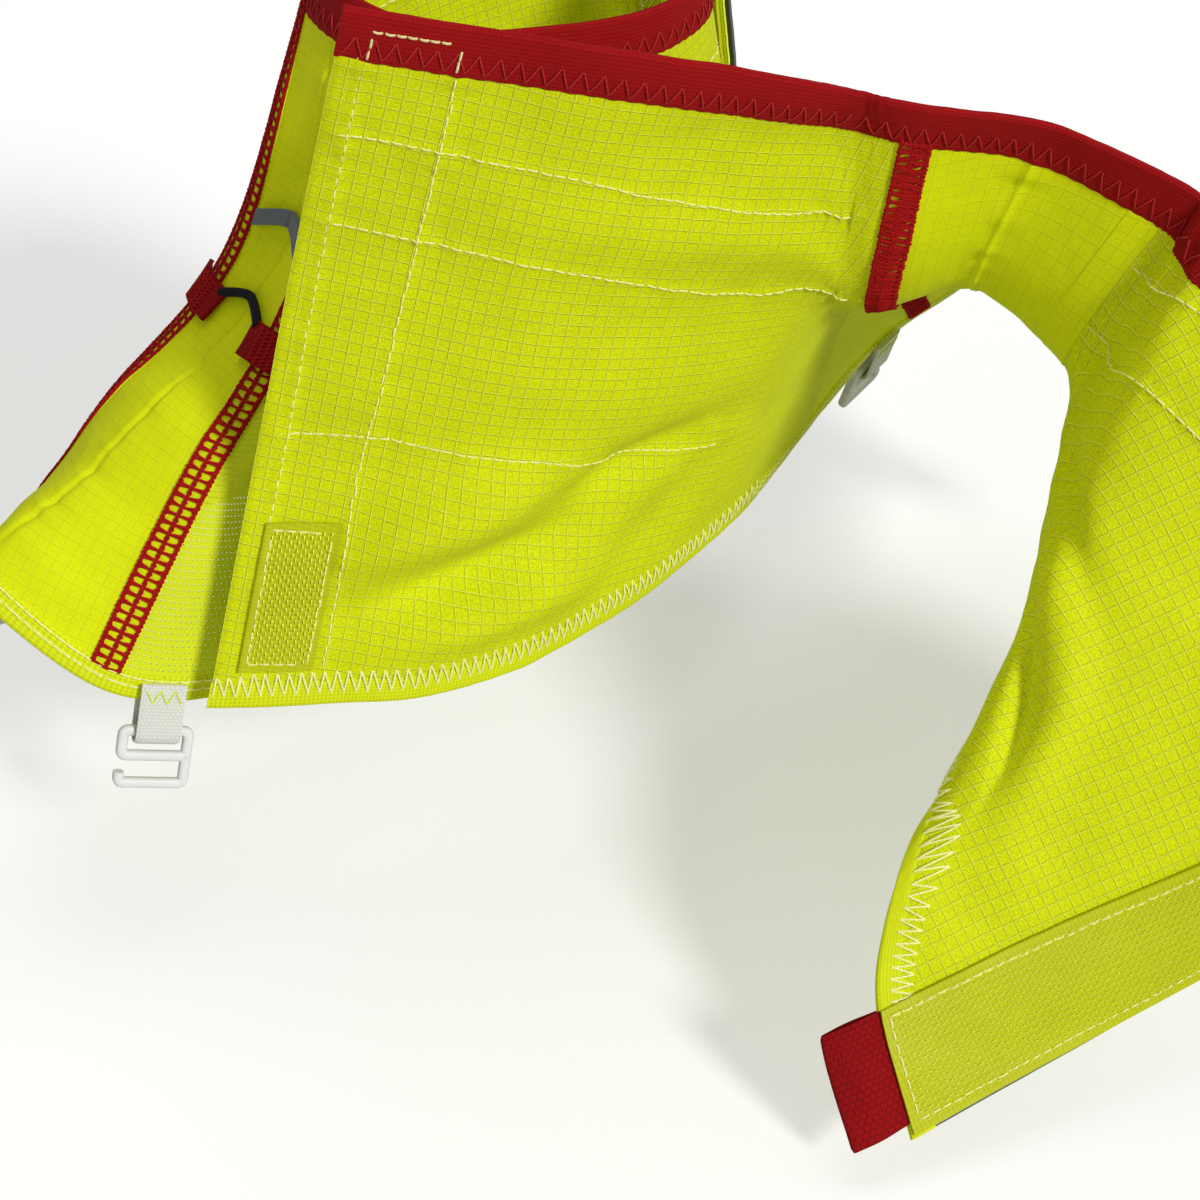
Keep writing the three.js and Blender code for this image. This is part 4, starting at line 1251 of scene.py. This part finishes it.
    def pull_tab(self, body: str) -> None:
        """Pull tab: webbing folded back on itself, a hairpin carried across its width."""
        half, length, layer = 1.0, 13.0, 0.85
        turn = np.linspace(-np.pi / 2, np.pi / 2, 9)
        run = np.linspace(-2.0, length - half, 14)
        mid = half - layer / 2
        along = np.concatenate([run, length - half + mid * np.cos(turn[1:-1]) * 0.9, run[::-1]])
        high = np.concatenate([np.full(len(run), mid), -mid * np.sin(turn[1:-1]),
                               np.full(len(run), -mid)])
        spread = 1 + 1.5 * np.sin(np.pi * np.clip(along / length, 0, 1)) ** 1.5
        high = high * spread
        columns = 26
        first, last = self.aside("over_edge", -28.0), self.aside("over_edge", -3.0)
        t = np.linspace(0, 1, columns)
        base = np.zeros(columns)
        u = (first(base) * (1 - t) + last(base) * t)[:, None] + np.zeros(len(along))
        v = self.cloth.above(u, 0.0, -along - 0.2)
        points, normals = self.cloth.at(u, v)
        middle = points + normals * high[:, None]
        heading = unit(np.gradient(middle, axis=1))
        off = unit(np.cross(unit(np.gradient(points, axis=0)), heading))
        swell = np.clip(np.sin(np.pi * t) * 12, 0.35, 1)[:, None, None]
        step = np.linalg.norm(np.diff(middle, axis=1, prepend=middle[:, :1]), axis=2)
        run = step.cumsum(1)
        uv = np.stack([run, np.broadcast_to(t[:, None] * 25, run.shape)], -1) * MM
        net = shell(middle, off * swell, layer, uv)
        # The back's points follow the front's in the same order: is this face turned to them?
        corners = net.faces[0][20]
        a, b, c = (net.points[corners[k]] for k in range(3))
        behind = net.points[corners[0] + middle.shape[0] * middle.shape[1]]
        if np.cross(b - a, c - a) @ (a - behind) < 0:
            net.faces = [f[:, ::-1] for f in net.faces]
        obj = net.piece(f"{self.name}_pull_tab_webbing", RED_WEBBING.material())
        self.done(obj, "red_webbing", ("pull_tab",), body)

    def seam_tabs(self) -> None:
        """Bartacked red tabs over the seams, the elastic between them and the ankle band."""
        skin, cloth = self.skin, self.cloth
        for side in Side:
            way, station = side.value, f"{side.word}_seam"
            inner, outer, half = 8.0, 11.0, 4.5
            ends = sorted((-way * inner, way * outer))
            seam_u = skin.u(station)
            x, y = np.meshgrid(np.linspace(*ends, 24), np.linspace(-half, half, 14), indexing="ij")
            points, normals = cloth.at(*cloth.near(seam_u, self.tab_at, x, y), 1.75)
            obj = shell(points, normals, 1.1, np.stack([x, y], -1) * MM).piece(
                f"{self.name}_{side.word}_tab_webbing", RED_WEBBING.material())
            self.done(obj, "red_webbing", (f"{side.word}_tab",))
            nets = []
            for k, x in enumerate(np.linspace(-3.4, 3.4, 5)):
                rungs = np.arange(-4.4, 4.4, 0.5)
                swing = way * x + np.where(np.arange(len(rungs)) % 2, 0.9, -0.9)
                u, v = cloth.near(seam_u, self.tab_at, swing, rungs)
                lines, normals = cloth.stitches(
                    np.stack([u[:-1], u[1:]], 1), np.stack([v[:-1], v[1:]], 1),
                    1, 2.3, 0.25, 60 + k)
                nets.append(strands(lines, normals, 0.24))
            obj = Net.joined(nets).piece(f"{self.name}_{side.word}_tab_bartack",
                                         RED_THREAD.material())
            self.done(obj, "red_webbing")
        t = np.linspace(0, 1, 60)
        level = np.full(60, self.tab_at)
        first = cloth.past(skin.u("under_seam"), level[:1], 6.5)[0]
        last = cloth.past(skin.u("over_seam"), level[:1], -6.5)[0]
        points, normals = cloth.at(first + (last - first) * t, level, 1.9)
        obj = strands(points[None], normals[None], 1.1, 10).piece(
            f"{self.name}_instep_elastic_cord", BLACK_ELASTIC.material())
        self.done(obj, "black_elastic", ("instep_elastic",))
        edges = (self.aside("under_seam", 4.5), self.aside("over_seam", -4.5),
                 lambda u: cloth.above(u, self.band_at, -2.0),
                 lambda u: cloth.above(u, self.band_at, 2.0))
        obj, _ = self.patch(f"{self.name}_ankle_band_elastic", GREY_ELASTIC, edges,
                            (70, 9), 1.0, 1.6)
        self.done(obj, "grey_elastic", ("ankle_band",))

    def hem_frame(self, u: float) -> Array:
        """4x4 frame on the hem: x along it, y outwards and z up the cloth."""
        at, v = np.array([u]), np.array([0.0])
        along, _ = self.skin.steps(at, v)
        x, y = unit(along[0]), self.cloth.at(at, v)[1][0]
        z = unit(np.cross(x, y))
        out = np.eye(4)
        out[:3, :3] = np.stack([x, y, z], 1)
        out[:3, 3] = self.skin.point(at, v)[0]
        return out

    def clips(self, bodies: dict[Side, str]) -> None:
        """Side hooks in their webbing loops, and the lace hook at the toe."""
        for side in Side:
            seam = self.skin.u(f"{side.word}_seam")
            u = float(self.cloth.past(seam, np.array([0.0]), side.value * 15.0)[0])
            place = self.hem_frame(u)
            Clip(self, side, place, bodies[side]).build()
        LaceHook(self, self.hem_frame(self.skin.u("centre"))).build()

    def build(self, tab_body: str, clip_bodies: dict[Side, str]) -> None:
        """Builds every piece of the gaiter.

        Args:
            tab_body: Body of the pull tab.
            clip_bodies: Body of each side hook.
        """
        under, over = self.wings[Side.UNDER], self.wings[Side.OVER]
        for side in Side:
            self.front(side)
            self.wing(side)
            self.mesh(side)
            self.covered_seam(side)
        self.trims()
        self.sewing()
        self.box_stitch()
        self.tape("loop_strip", LOOP_TAPE, "loop_tape", Side.UNDER, (3.0, 23.0), 1, under)
        self.tape("hook_strip", HOOK_TAPE, "hook_tape", Side.OVER, (0.8, 28.0), -1, over,
                  border=2.4, foot_at=0.6, rise=0.15)
        self.tape("heel_patch", HOOK_TAPE, "hook_tape", Side.UNDER, (5.0, 21.0), -1, under,
                  (9.0, 43.0))
        self.tape("edge_backing", GREY_FILM, "grey_film", Side.OVER, (-0.9, 8.1), 1, over,
                  wall=0.8)
        self.pull_tab(tab_body)
        self.seam_tabs()
        self.clips(clip_bodies)


def placed(points: Array, place: Array) -> Array:
    """Points (..., 3) carried by a 4x4 frame."""
    return points @ place[:3, :3].T + place[:3, 3]


def rounded(corners: Array, radius: float, closed: bool, fine: float = 0.5) -> Array:
    """A polyline resampled finely and its corners eased by a moving mean of the radius."""
    path = np.concatenate([corners, corners[:1]]) if closed else corners
    s = np.concatenate([[0], np.linalg.norm(np.diff(path, axis=0), axis=1).cumsum()])
    n = int(s[-1] / fine)
    t = np.linspace(0, s[-1], n, endpoint=not closed)
    line = np.stack([np.interp(t, s, path[:, k]) for k in range(path.shape[1])], 1)
    wide = max(1, int(radius / fine))
    mode = "wrap" if closed else "reflect"
    padded = np.pad(line, ((wide, wide), (0, 0)), mode=mode,
                    **({} if closed else {"reflect_type": "odd"}))
    kernel = np.ones(2 * wide + 1) / (2 * wide + 1)
    return np.stack([np.convolve(padded[:, k], kernel, mode="valid")
                     for k in range(line.shape[1])], 1)


def bar(line: Array, out: Array, width: float, thick: float, closed: bool,
        power: float = 0.5) -> Net:
    """A bar: a rounded-square section carried along a line in a plane.

    Args:
        line: Middle of the bar, (n, 3).
        out: Normal of the plane.
        width: Of the section in the plane.
        thick: Of the section across it.
        closed: Whether the line is a ring.
        power: Exponent of the section; 1 gives an ellipse and less a squarer form.

    Returns:
        A closed net.
    """
    ahead = np.roll(line, -1, 0) - np.roll(line, 1, 0) if closed else np.gradient(line, axis=0)
    across = unit(np.cross(unit(ahead), out))
    turn = np.linspace(0, 2 * np.pi, 12, endpoint=False) + np.pi / 12
    c, s = np.cos(turn), np.sin(turn)
    x, y = (np.sign(q) * np.abs(q) ** power for q in (c, s))
    rings = (line[:, None] + across[:, None] * (x * width / 2)[:, None]
             + out * (y * thick / 2)[:, None])
    n, m = rings.shape[:2]
    uv = np.stack(np.meshgrid(np.arange(n) * 0.5, turn, indexing="ij"), -1) * MM
    number = np.arange(n * m).reshape(n, m)
    if closed:
        a, b = number, np.roll(number, -1, 0)
        quads = np.stack([a, b, np.roll(b, -1, 1), np.roll(a, -1, 1)], -1).reshape(-1, 4)
        return Net(rings.reshape(-1, 3), [quads[:, ::-1]], uv.reshape(-1, 2))
    a, b = number[:-1], number[1:]
    quads = np.stack([a, b, np.roll(b, -1, 1), np.roll(a, -1, 1)], -1).reshape(-1, 4)
    return Net(rings.reshape(-1, 3), [quads[:, ::-1], number[:1], number[-1:, ::-1]],
               uv.reshape(-1, 2))


@dataclass
class Clip:
    """A moulded hook that hangs from the hem in a folded loop of webbing."""

    gaiter: Gaiter
    side: Side
    place: Array
    body: str
    width: float = 17.0
    height: float = 15.0
    stock: float = 2.4
    slot: float = 3.6
    drop: float = 7.0

    def build(self) -> None:
        """Builds the hook and its webbing."""
        self.hook()
        self.webbing()

    def hook(self) -> None:
        """Slotted frame and open hook: two rounded bars in one plate."""
        half, r = (self.width - self.stock) / 2, self.stock / 2
        top = -self.drop + r
        z0, z1, z2 = top - r, top - r - self.slot - self.stock, top - self.height + r
        ring = np.array([[-half, 0, z0], [half, 0, z0], [half, 0, z1], [-half, 0, z1]])
        open_part = np.array([[-half, 0, z1 + 0.2], [-half, 0, z2], [half, 0, z2],
                              [half, 0, z2 + 2.6]])
        out = np.array([0.0, 1.0, 0.0])
        nets = [bar(rounded(ring, 1.0, True), out, self.stock, self.stock, True, 0.7),
                bar(rounded(open_part, 1.0, False), out, self.stock, self.stock, False, 0.7)]
        net = Net.joined(nets)
        net.points = placed(net.points, self.place)
        obj = net.piece(f"{self.gaiter.name}_{self.side.word}_hook_moulding",
                        WHITE_PLASTIC.material())
        self.gaiter.done(obj, "white_plastic", (f"{self.side.word}_hook",), self.body)

    def webbing(self) -> None:
        """Webbing round the hook's bar, with a leg on each face of the hem and stitches."""
        inside = np.hypot(self.stock, self.stock) / 2 + 0.3
        mid = inside + 0.5
        turn = np.linspace(np.pi, 2 * np.pi, 14)
        leg = np.linspace(5.0, -self.drop + 0.5, 12)
        y = np.concatenate([np.full(12, -mid), mid * np.cos(turn), np.full(12, mid)])
        z = np.concatenate([leg, -self.drop + mid * np.sin(turn), leg[::-1]])
        t = np.linspace(0, 1, 14)
        x = (t - 0.5) * 10.0
        line = np.stack([np.zeros_like(y), y, z], 1)
        ahead = unit(np.gradient(line, axis=0))
        off = np.cross(np.array([1.0, 0, 0]), ahead)
        points = line[None] + x[:, None, None] * np.array([1.0, 0, 0])
        normals = np.broadcast_to(off, points.shape) * np.clip(
            np.sin(np.pi * t) * 6, 0.4, 1)[:, None, None]
        s = np.concatenate([[0], np.linalg.norm(np.diff(line, axis=0), axis=1).cumsum()])
        uv = np.stack(np.broadcast_arrays(x[:, None], s[None]), -1) * MM
        net = shell(placed(points, self.place), normals @ self.place[:3, :3].T, 1.0, uv)
        obj = net.piece(f"{self.gaiter.name}_{self.side.word}_hook_webbing",
                        WHITE_WEBBING.material())
        self.gaiter.done(obj, "white_webbing", (f"{self.side.word}_webbing",))
        zig = np.arange(-4.0, 4.01, 1.6)
        high = np.where(np.arange(len(zig)) % 2, 3.8, 0.6)
        nets = []
        for face in (1, -1):
            a = np.stack([zig, np.full(len(zig), face * (mid + 0.62)), high], 1)
            lines = a[:-1, None] + (a[1:, None] - a[:-1, None]) * np.linspace(0, 1, 5)[:, None]
            lines[:, [0, -1], 1] -= face * 0.25
            normal = np.broadcast_to(np.array([0, float(face), 0]), lines.shape)
            nets.append(strands(placed(lines, self.place), normal @ self.place[:3, :3].T, 0.2))
        obj = Net.joined(nets).piece(f"{self.gaiter.name}_{self.side.word}_webbing_stitches",
                                     YELLOW_THREAD.material())
        self.gaiter.done(obj, "white_webbing")


@dataclass
class LaceHook:
    """The open hook under the toe hem that catches the lowest lace."""

    gaiter: Gaiter
    place: Array
    width: float = 11.0
    height: float = 10.0
    wire: float = 1.8
    gap: float = 0.5

    def build(self) -> None:
        """A rounded bar bent as a squared C."""
        half, r = (self.width - self.wire) / 2, self.wire / 2
        z0, z1 = -self.gap - r, -self.gap - self.height + r
        line = np.array([[-half - r, 0, z0], [half, 0, z0], [half, 0, z1], [-half, 0, z1],
                         [-half, 0, z1 + self.wire]])
        net = bar(rounded(line, 0.9, False), np.array([0.0, 1.0, 0.0]), self.wire, self.wire,
                  False, 0.8)
        net.points = placed(net.points, self.place)
        obj = net.piece(f"{self.gaiter.name}_lace_hook_wire", WHITE_PLASTIC.material())
        self.gaiter.done(obj, "white_plastic", ("lace_hook",))


# ---- The two gaiters ----
OPEN_RIBS: dict[str, Rib] = {
    "under_edge": [[-127, -79, 62], [-121, -57, 120], [-112, -46, 171], [-99, -46, 217]],
    "under_strip": [[-106, -68, 61], [-103, -49, 118], [-93, -40, 168], [-81, -36, 212]],
    "under_middle": [[-86, -53, 59], [-79, -37, 112], [-67, -27, 162], [-53, -24, 207]],
    "under_curve": [[-66, -24, 57], [-57, -12, 106], [-45, -6, 154], [-31, -5, 198]],
    "under_fold": [[-50, 28, 58], None, None, [-18, 11, 190]],
    "under_seam": [[-30, 132, 68], [-27, 98, 96], [-15, 36, 128], [-4, 17, 186]],
    "centre": [[0, 150, 84], [0, 112, 104], [4, 44, 132], [20, 29, 181]],
    "over_seam": [[30, 132, 68], [27, 98, 96], [25, 38, 124], [46, 31, 173]],
    "over_side": [[38, 30, 60], [33, 10, 86], [37, 18, 122], [54, 28, 168]],
    "over_fold": [[28, -44, 58], None, None, [62, 26, 163]],
    "over_curve": [[26, -60, 53], [52, -28, 86], [72, -2, 114], [84, 26, 154]],
    "over_middle": [[26, -70, 45], [60, -36, 68], [88, -8, 98], [108, 26, 133]],
    "over_strip": [[29, -80, 32], [72, -43, 46], [106, -12, 74], [138, 26, 98]],
    "over_edge": [[41, -90, 9], [87, -40, 26], [125, -7, 45], [159, 27, 62]],
}
# Half of the closed gaiter: left of the toe line, forward, above the ground.
CLOSED_RIBS: dict[str, Rib] = {
    "edge": [[-9, -58, 48], [-9, -50, 98], [-8, -44, 146], [-7, -38, 192]],
    "back": [[26, -50, 48], [27, -43, 98], [25, -37, 146], [21, -31, 193]],
    "side": [[37, 5, 50], [37, 0, 98], [38, -4, 146], [37, -8, 193]],
    "fold": [[36, 68, 53], None, None, [34, 20, 193]],
    "seam": [[27, 137, 65], [22, 108, 101], [15, 75, 134], [20, 45, 195]],
    "centre": [[0, 154, 85], [0, 113, 106], [0, 70, 138], [0, 50, 196]],
}
CLOSED_HEADING = 237.0
CLOSED_AT = (-99.0, 44.0)
CLOSED_LAP = 3.3


def closed_ribs() -> dict[str, Rib]:
    """The closed gaiter's ribs: the half net turned to its heading, then mirrored."""
    turn = np.radians(CLOSED_HEADING)
    toe = np.array([np.cos(turn), np.sin(turn)])
    left = np.array([-toe[1], toe[0]])

    def place(point: list[float] | None, way: int, shift: float) -> list[float] | None:
        """A rib's point in the room, shifted along the foot and mirrored by way."""
        if point is None:
            return None
        x, y = np.array(CLOSED_AT) + left * way * point[0] + toe * (point[1] + shift)
        return [x, y, point[2]]

    def half(way: int, word: str, shift: float) -> list[tuple[str, Rib]]:
        """The named ribs of one side; only those at the lap are shifted."""
        return [(f"{word}_{name}",
                 [place(p, way, shift if name in ("edge", "back") else 0.0) for p in rib])
                for name, rib in CLOSED_RIBS.items() if name != "centre"]

    centre = [("centre", [place(p, 1, 0.0) for p in CLOSED_RIBS["centre"]])]
    return dict(half(1, "under", CLOSED_LAP) + centre + half(-1, "over", -CLOSED_LAP)[::-1])


def open_gaiter() -> Gaiter:
    """The gaiter laid open: both flaps spread, with their inner faces towards the heel."""
    under_rows = (
        Row((3.5, 24, 47, 74, 106, 140, 160), (0.802, 0.80, 0.79, 0.768, 0.757, 0.79, 0.83)),
        Row((3.5, 33, 62, 109, 152, 168), (0.66, 0.653, 0.635, 0.592, 0.645, 0.67)),
        Row((3.5, 31, 64, 91, 112), (0.347, 0.357, 0.347, 0.30, 0.27)),
        Row((0.03, 0.35, 0.7, 0.925), (5.2, 6.3, 6.0, 5.4), False),
        Row((0.05, 0.14, 0.29, 0.44, 0.64, 0.79, 0.93), (21.4, 22.3, 23.2, 25, 24.8, 24.6, 23.6),
            False),
    )
    over_rows = (
        Row((243, 290, 324, 360, 400), (0.87, 0.88, 0.885, 0.88, 0.87)),
        Row((243, 257, 300, 335, 370, 398), (0.762, 0.764, 0.75, 0.737, 0.73, 0.72)),
    )
    creases = (
        Crease((20, 0.18), (66, 0.31), -7.0, 9.0),
        Crease((28, 0.125), (82, 0.225), 7.0, 7.0),
        Crease((34, 0.085), (84, 0.115), -3.4, 6.0),
        Crease((72, 0.27), (106, 0.33), 6.0, 7.0),
        Crease((88, 0.06), (112, 0.30), 3.0, 10.0),
        Crease((30, 0.48), (110, 0.42), -1.6, 14.0),
        Crease((40, 0.72), (150, 0.68), -2.2, 9.0),
        Crease((60, 0.86), (150, 0.90), 2.0, 10.0),
        Crease((252, 0.72), (300, 0.80), 2.4, 9.0),
        Crease((320, 0.34), (350, 0.16), 3.8, 5.0),
        Crease((326, 0.42), (362, 0.20), -3.2, 7.0),
        Crease((288, 0.60), (335, 0.43), 3.4, 6.0),
        Crease((350, 0.10), (392, 0.16), 2.0, 8.0),
        Crease((338, 0.55), (392, 0.78), 2.4, 10.0),
    )
    skin = Skin(OPEN_RIBS)
    centre = Row((0.05, 0.93), (skin.u("centre"),) * 2, False, 0.6)
    cloth = Cloth(skin, creases, (*under_rows, *over_rows, centre))
    return Gaiter("open", cloth, {Side.UNDER: "open_under_wing", Side.OVER: "open_over_wing"},
                  rows={Side.UNDER: under_rows, Side.OVER: over_rows})


def closed_gaiter() -> Gaiter:
    """The gaiter closed round a leg, its over flap lapped on the under flap."""
    skin = Skin(closed_ribs())
    edge = skin.u("over_edge")
    under_rows = (Row((3.5, 60, 110, 150), (0.85, 0.85, 0.85, 0.85)),
                  Row((3.5, 60, 110, 150), (0.735, 0.735, 0.735, 0.735)),
                  Row((0.06, 0.5, 0.92), (5.5, 5.5, 5.5), False),
                  Row((0.06, 0.5, 0.92), (24.5, 24.5, 24.5), False))
    over_rows = (Row((232, 280, 330, edge - 3), (0.85, 0.85, 0.85, 0.85)),
                 Row((232, 280, 330, edge - 3), (0.735, 0.735, 0.735, 0.735)),
                 Row((0.06, 0.5, 0.92), (edge - 4, edge - 4, edge - 4), False))
    creases = (
        Crease((175, 0.10), (212, 0.16), 0.9, 6.0),
        Crease((172, 0.28), (214, 0.24), -0.8, 7.0),
        Crease((172, 0.42), (214, 0.40), 0.8, 6.0),
        Crease((60, 0.3), (110, 0.36), 1.6, 12.0),
        Crease((280, 0.34), (330, 0.28), 1.6, 12.0),
        Crease((60, 0.62), (120, 0.58), -1.3, 10.0),
        Crease((270, 0.58), (330, 0.64), -1.3, 10.0),
    )
    centre = Row((0.05, 0.93), (skin.u("centre"),) * 2, False, 0.6)
    cloth = Cloth(skin, creases, (*under_rows, *over_rows, centre), crinkle=0.35, seed=31)
    return Gaiter("closed", cloth, {Side.UNDER: "fronts", Side.OVER: "closed_over_wing"},
                  rows={Side.UNDER: under_rows, Side.OVER: over_rows})


# ---- The room ----
@dataclass
class Studio:
    """Camera, floor and soft lights. Places are in mm in the part's frame."""

    eye: tuple[float, float, float] = (108.4, -413.6, 404.3)
    ahead: tuple[float, float, float] = (-0.3079, 0.7254, -0.6157)
    lens: float = 72.0
    floor: float = 0.0

    def camera(self) -> None:
        """Camera that looks down from behind the open gaiter, with no roll."""
        data = bpy.data.cameras.new("camera")
        data.lens, data.sensor_width = self.lens, 36.0
        data.clip_start, data.clip_end = 0.01, 20.0
        back = -unit(np.array(self.ahead))
        right = unit(np.cross([0.0, 0.0, 1.0], back))
        up = np.cross(back, right)
        frame_matrix = np.eye(4)
        frame_matrix[:3, :3] = np.stack([right, up, back], 1)
        frame_matrix[:3, 3] = np.array(self.eye) * MM
        obj = bpy.data.objects.new("camera", data)
        obj.matrix_world = Matrix(frame_matrix.tolist())
        bpy.context.scene.collection.objects.link(obj)
        bpy.context.scene.camera = obj

    def stage(self) -> None:
        """Pale floor that runs to the horizon."""
        wide, z = 6000.0, self.floor
        corners = np.array([[-wide, -wide, z], [wide, -wide, z], [wide, wide, z], [-wide, wide, z]])
        material = bpy.data.materials.new("matt_painted_floor_white")
        material.use_nodes = True
        shader = material.node_tree.nodes["Principled BSDF"]
        shader.inputs["Base Color"].default_value = colour("#cfcfcd")
        shader.inputs["Roughness"].default_value = 0.9
        shader.inputs["Emission Color"].default_value = colour("#ffffff")
        seen = add_node(material.node_tree, "ShaderNodeLightPath").outputs["Is Camera Ray"]
        glow = add_node(material.node_tree, "ShaderNodeMath", {0: seen, 1: 0.45},
                        operation="MULTIPLY")
        material.node_tree.links.new(glow.outputs[0], shader.inputs["Emission Strength"])
        net = Net(corners, [np.array([[0, 1, 2, 3]])], corners[:, :2] * MM)
        net.piece("floor", material)

    def lights(self) -> None:
        """White surroundings, a soft key above and to the right, a top light and a low fill."""
        world = bpy.data.worlds.new("white_room")
        bpy.context.scene.world = world
        world.use_nodes = True
        background = world.node_tree.nodes["Background"]
        background.inputs["Color"].default_value = colour("#ffffff")
        seen = add_node(world.node_tree, "ShaderNodeLightPath").outputs["Is Camera Ray"]
        glow = add_node(world.node_tree, "ShaderNodeMapRange",
                        {"Value": seen, "To Min": 0.21, "To Max": 1.0})
        world.node_tree.links.new(glow.outputs["Result"], background.inputs["Strength"])
        for name, place, degrees, strength in (
                ("key", (750, -350, 560), 12.0, 2.35),
                ("top", (-150, 300, 900), 40.0, 0.7),
                ("fill", (-500, -600, 500), 50.0, 0.22)):
            data = bpy.data.lights.new(name, "SUN")
            data.energy, data.angle = strength, np.radians(degrees)
            obj = bpy.data.objects.new(name, data)
            back = unit(np.array(place, float))
            right = unit(np.cross([0.0, 1.0, 0.2], back))
            matrix = np.eye(4)
            matrix[:3, :3] = np.stack([right, np.cross(back, right), back], 1)
            matrix[:3, 3] = np.array(place) * MM
            obj.matrix_world = Matrix(matrix.tolist())
            bpy.context.scene.collection.objects.link(obj)

    def build(self) -> None:
        """Sets up the room and a plain colour transform."""
        self.camera()
        self.stage()
        self.lights()
        bpy.context.scene.view_settings.view_transform = "Standard"


def main() -> None:
    """Builds the room and the two gaiters."""
    logging.basicConfig(level=logging.INFO, format="%(message)s")
    Studio().build()
    open_gaiter().build("open_tab", {Side.UNDER: "open_under_clip", Side.OVER: "open_over_clip"})
    closed_gaiter().build(
        "closed_tab", {Side.UNDER: "closed_under_clip", Side.OVER: "closed_over_clip"})


if __name__ == "__main__":
    main()
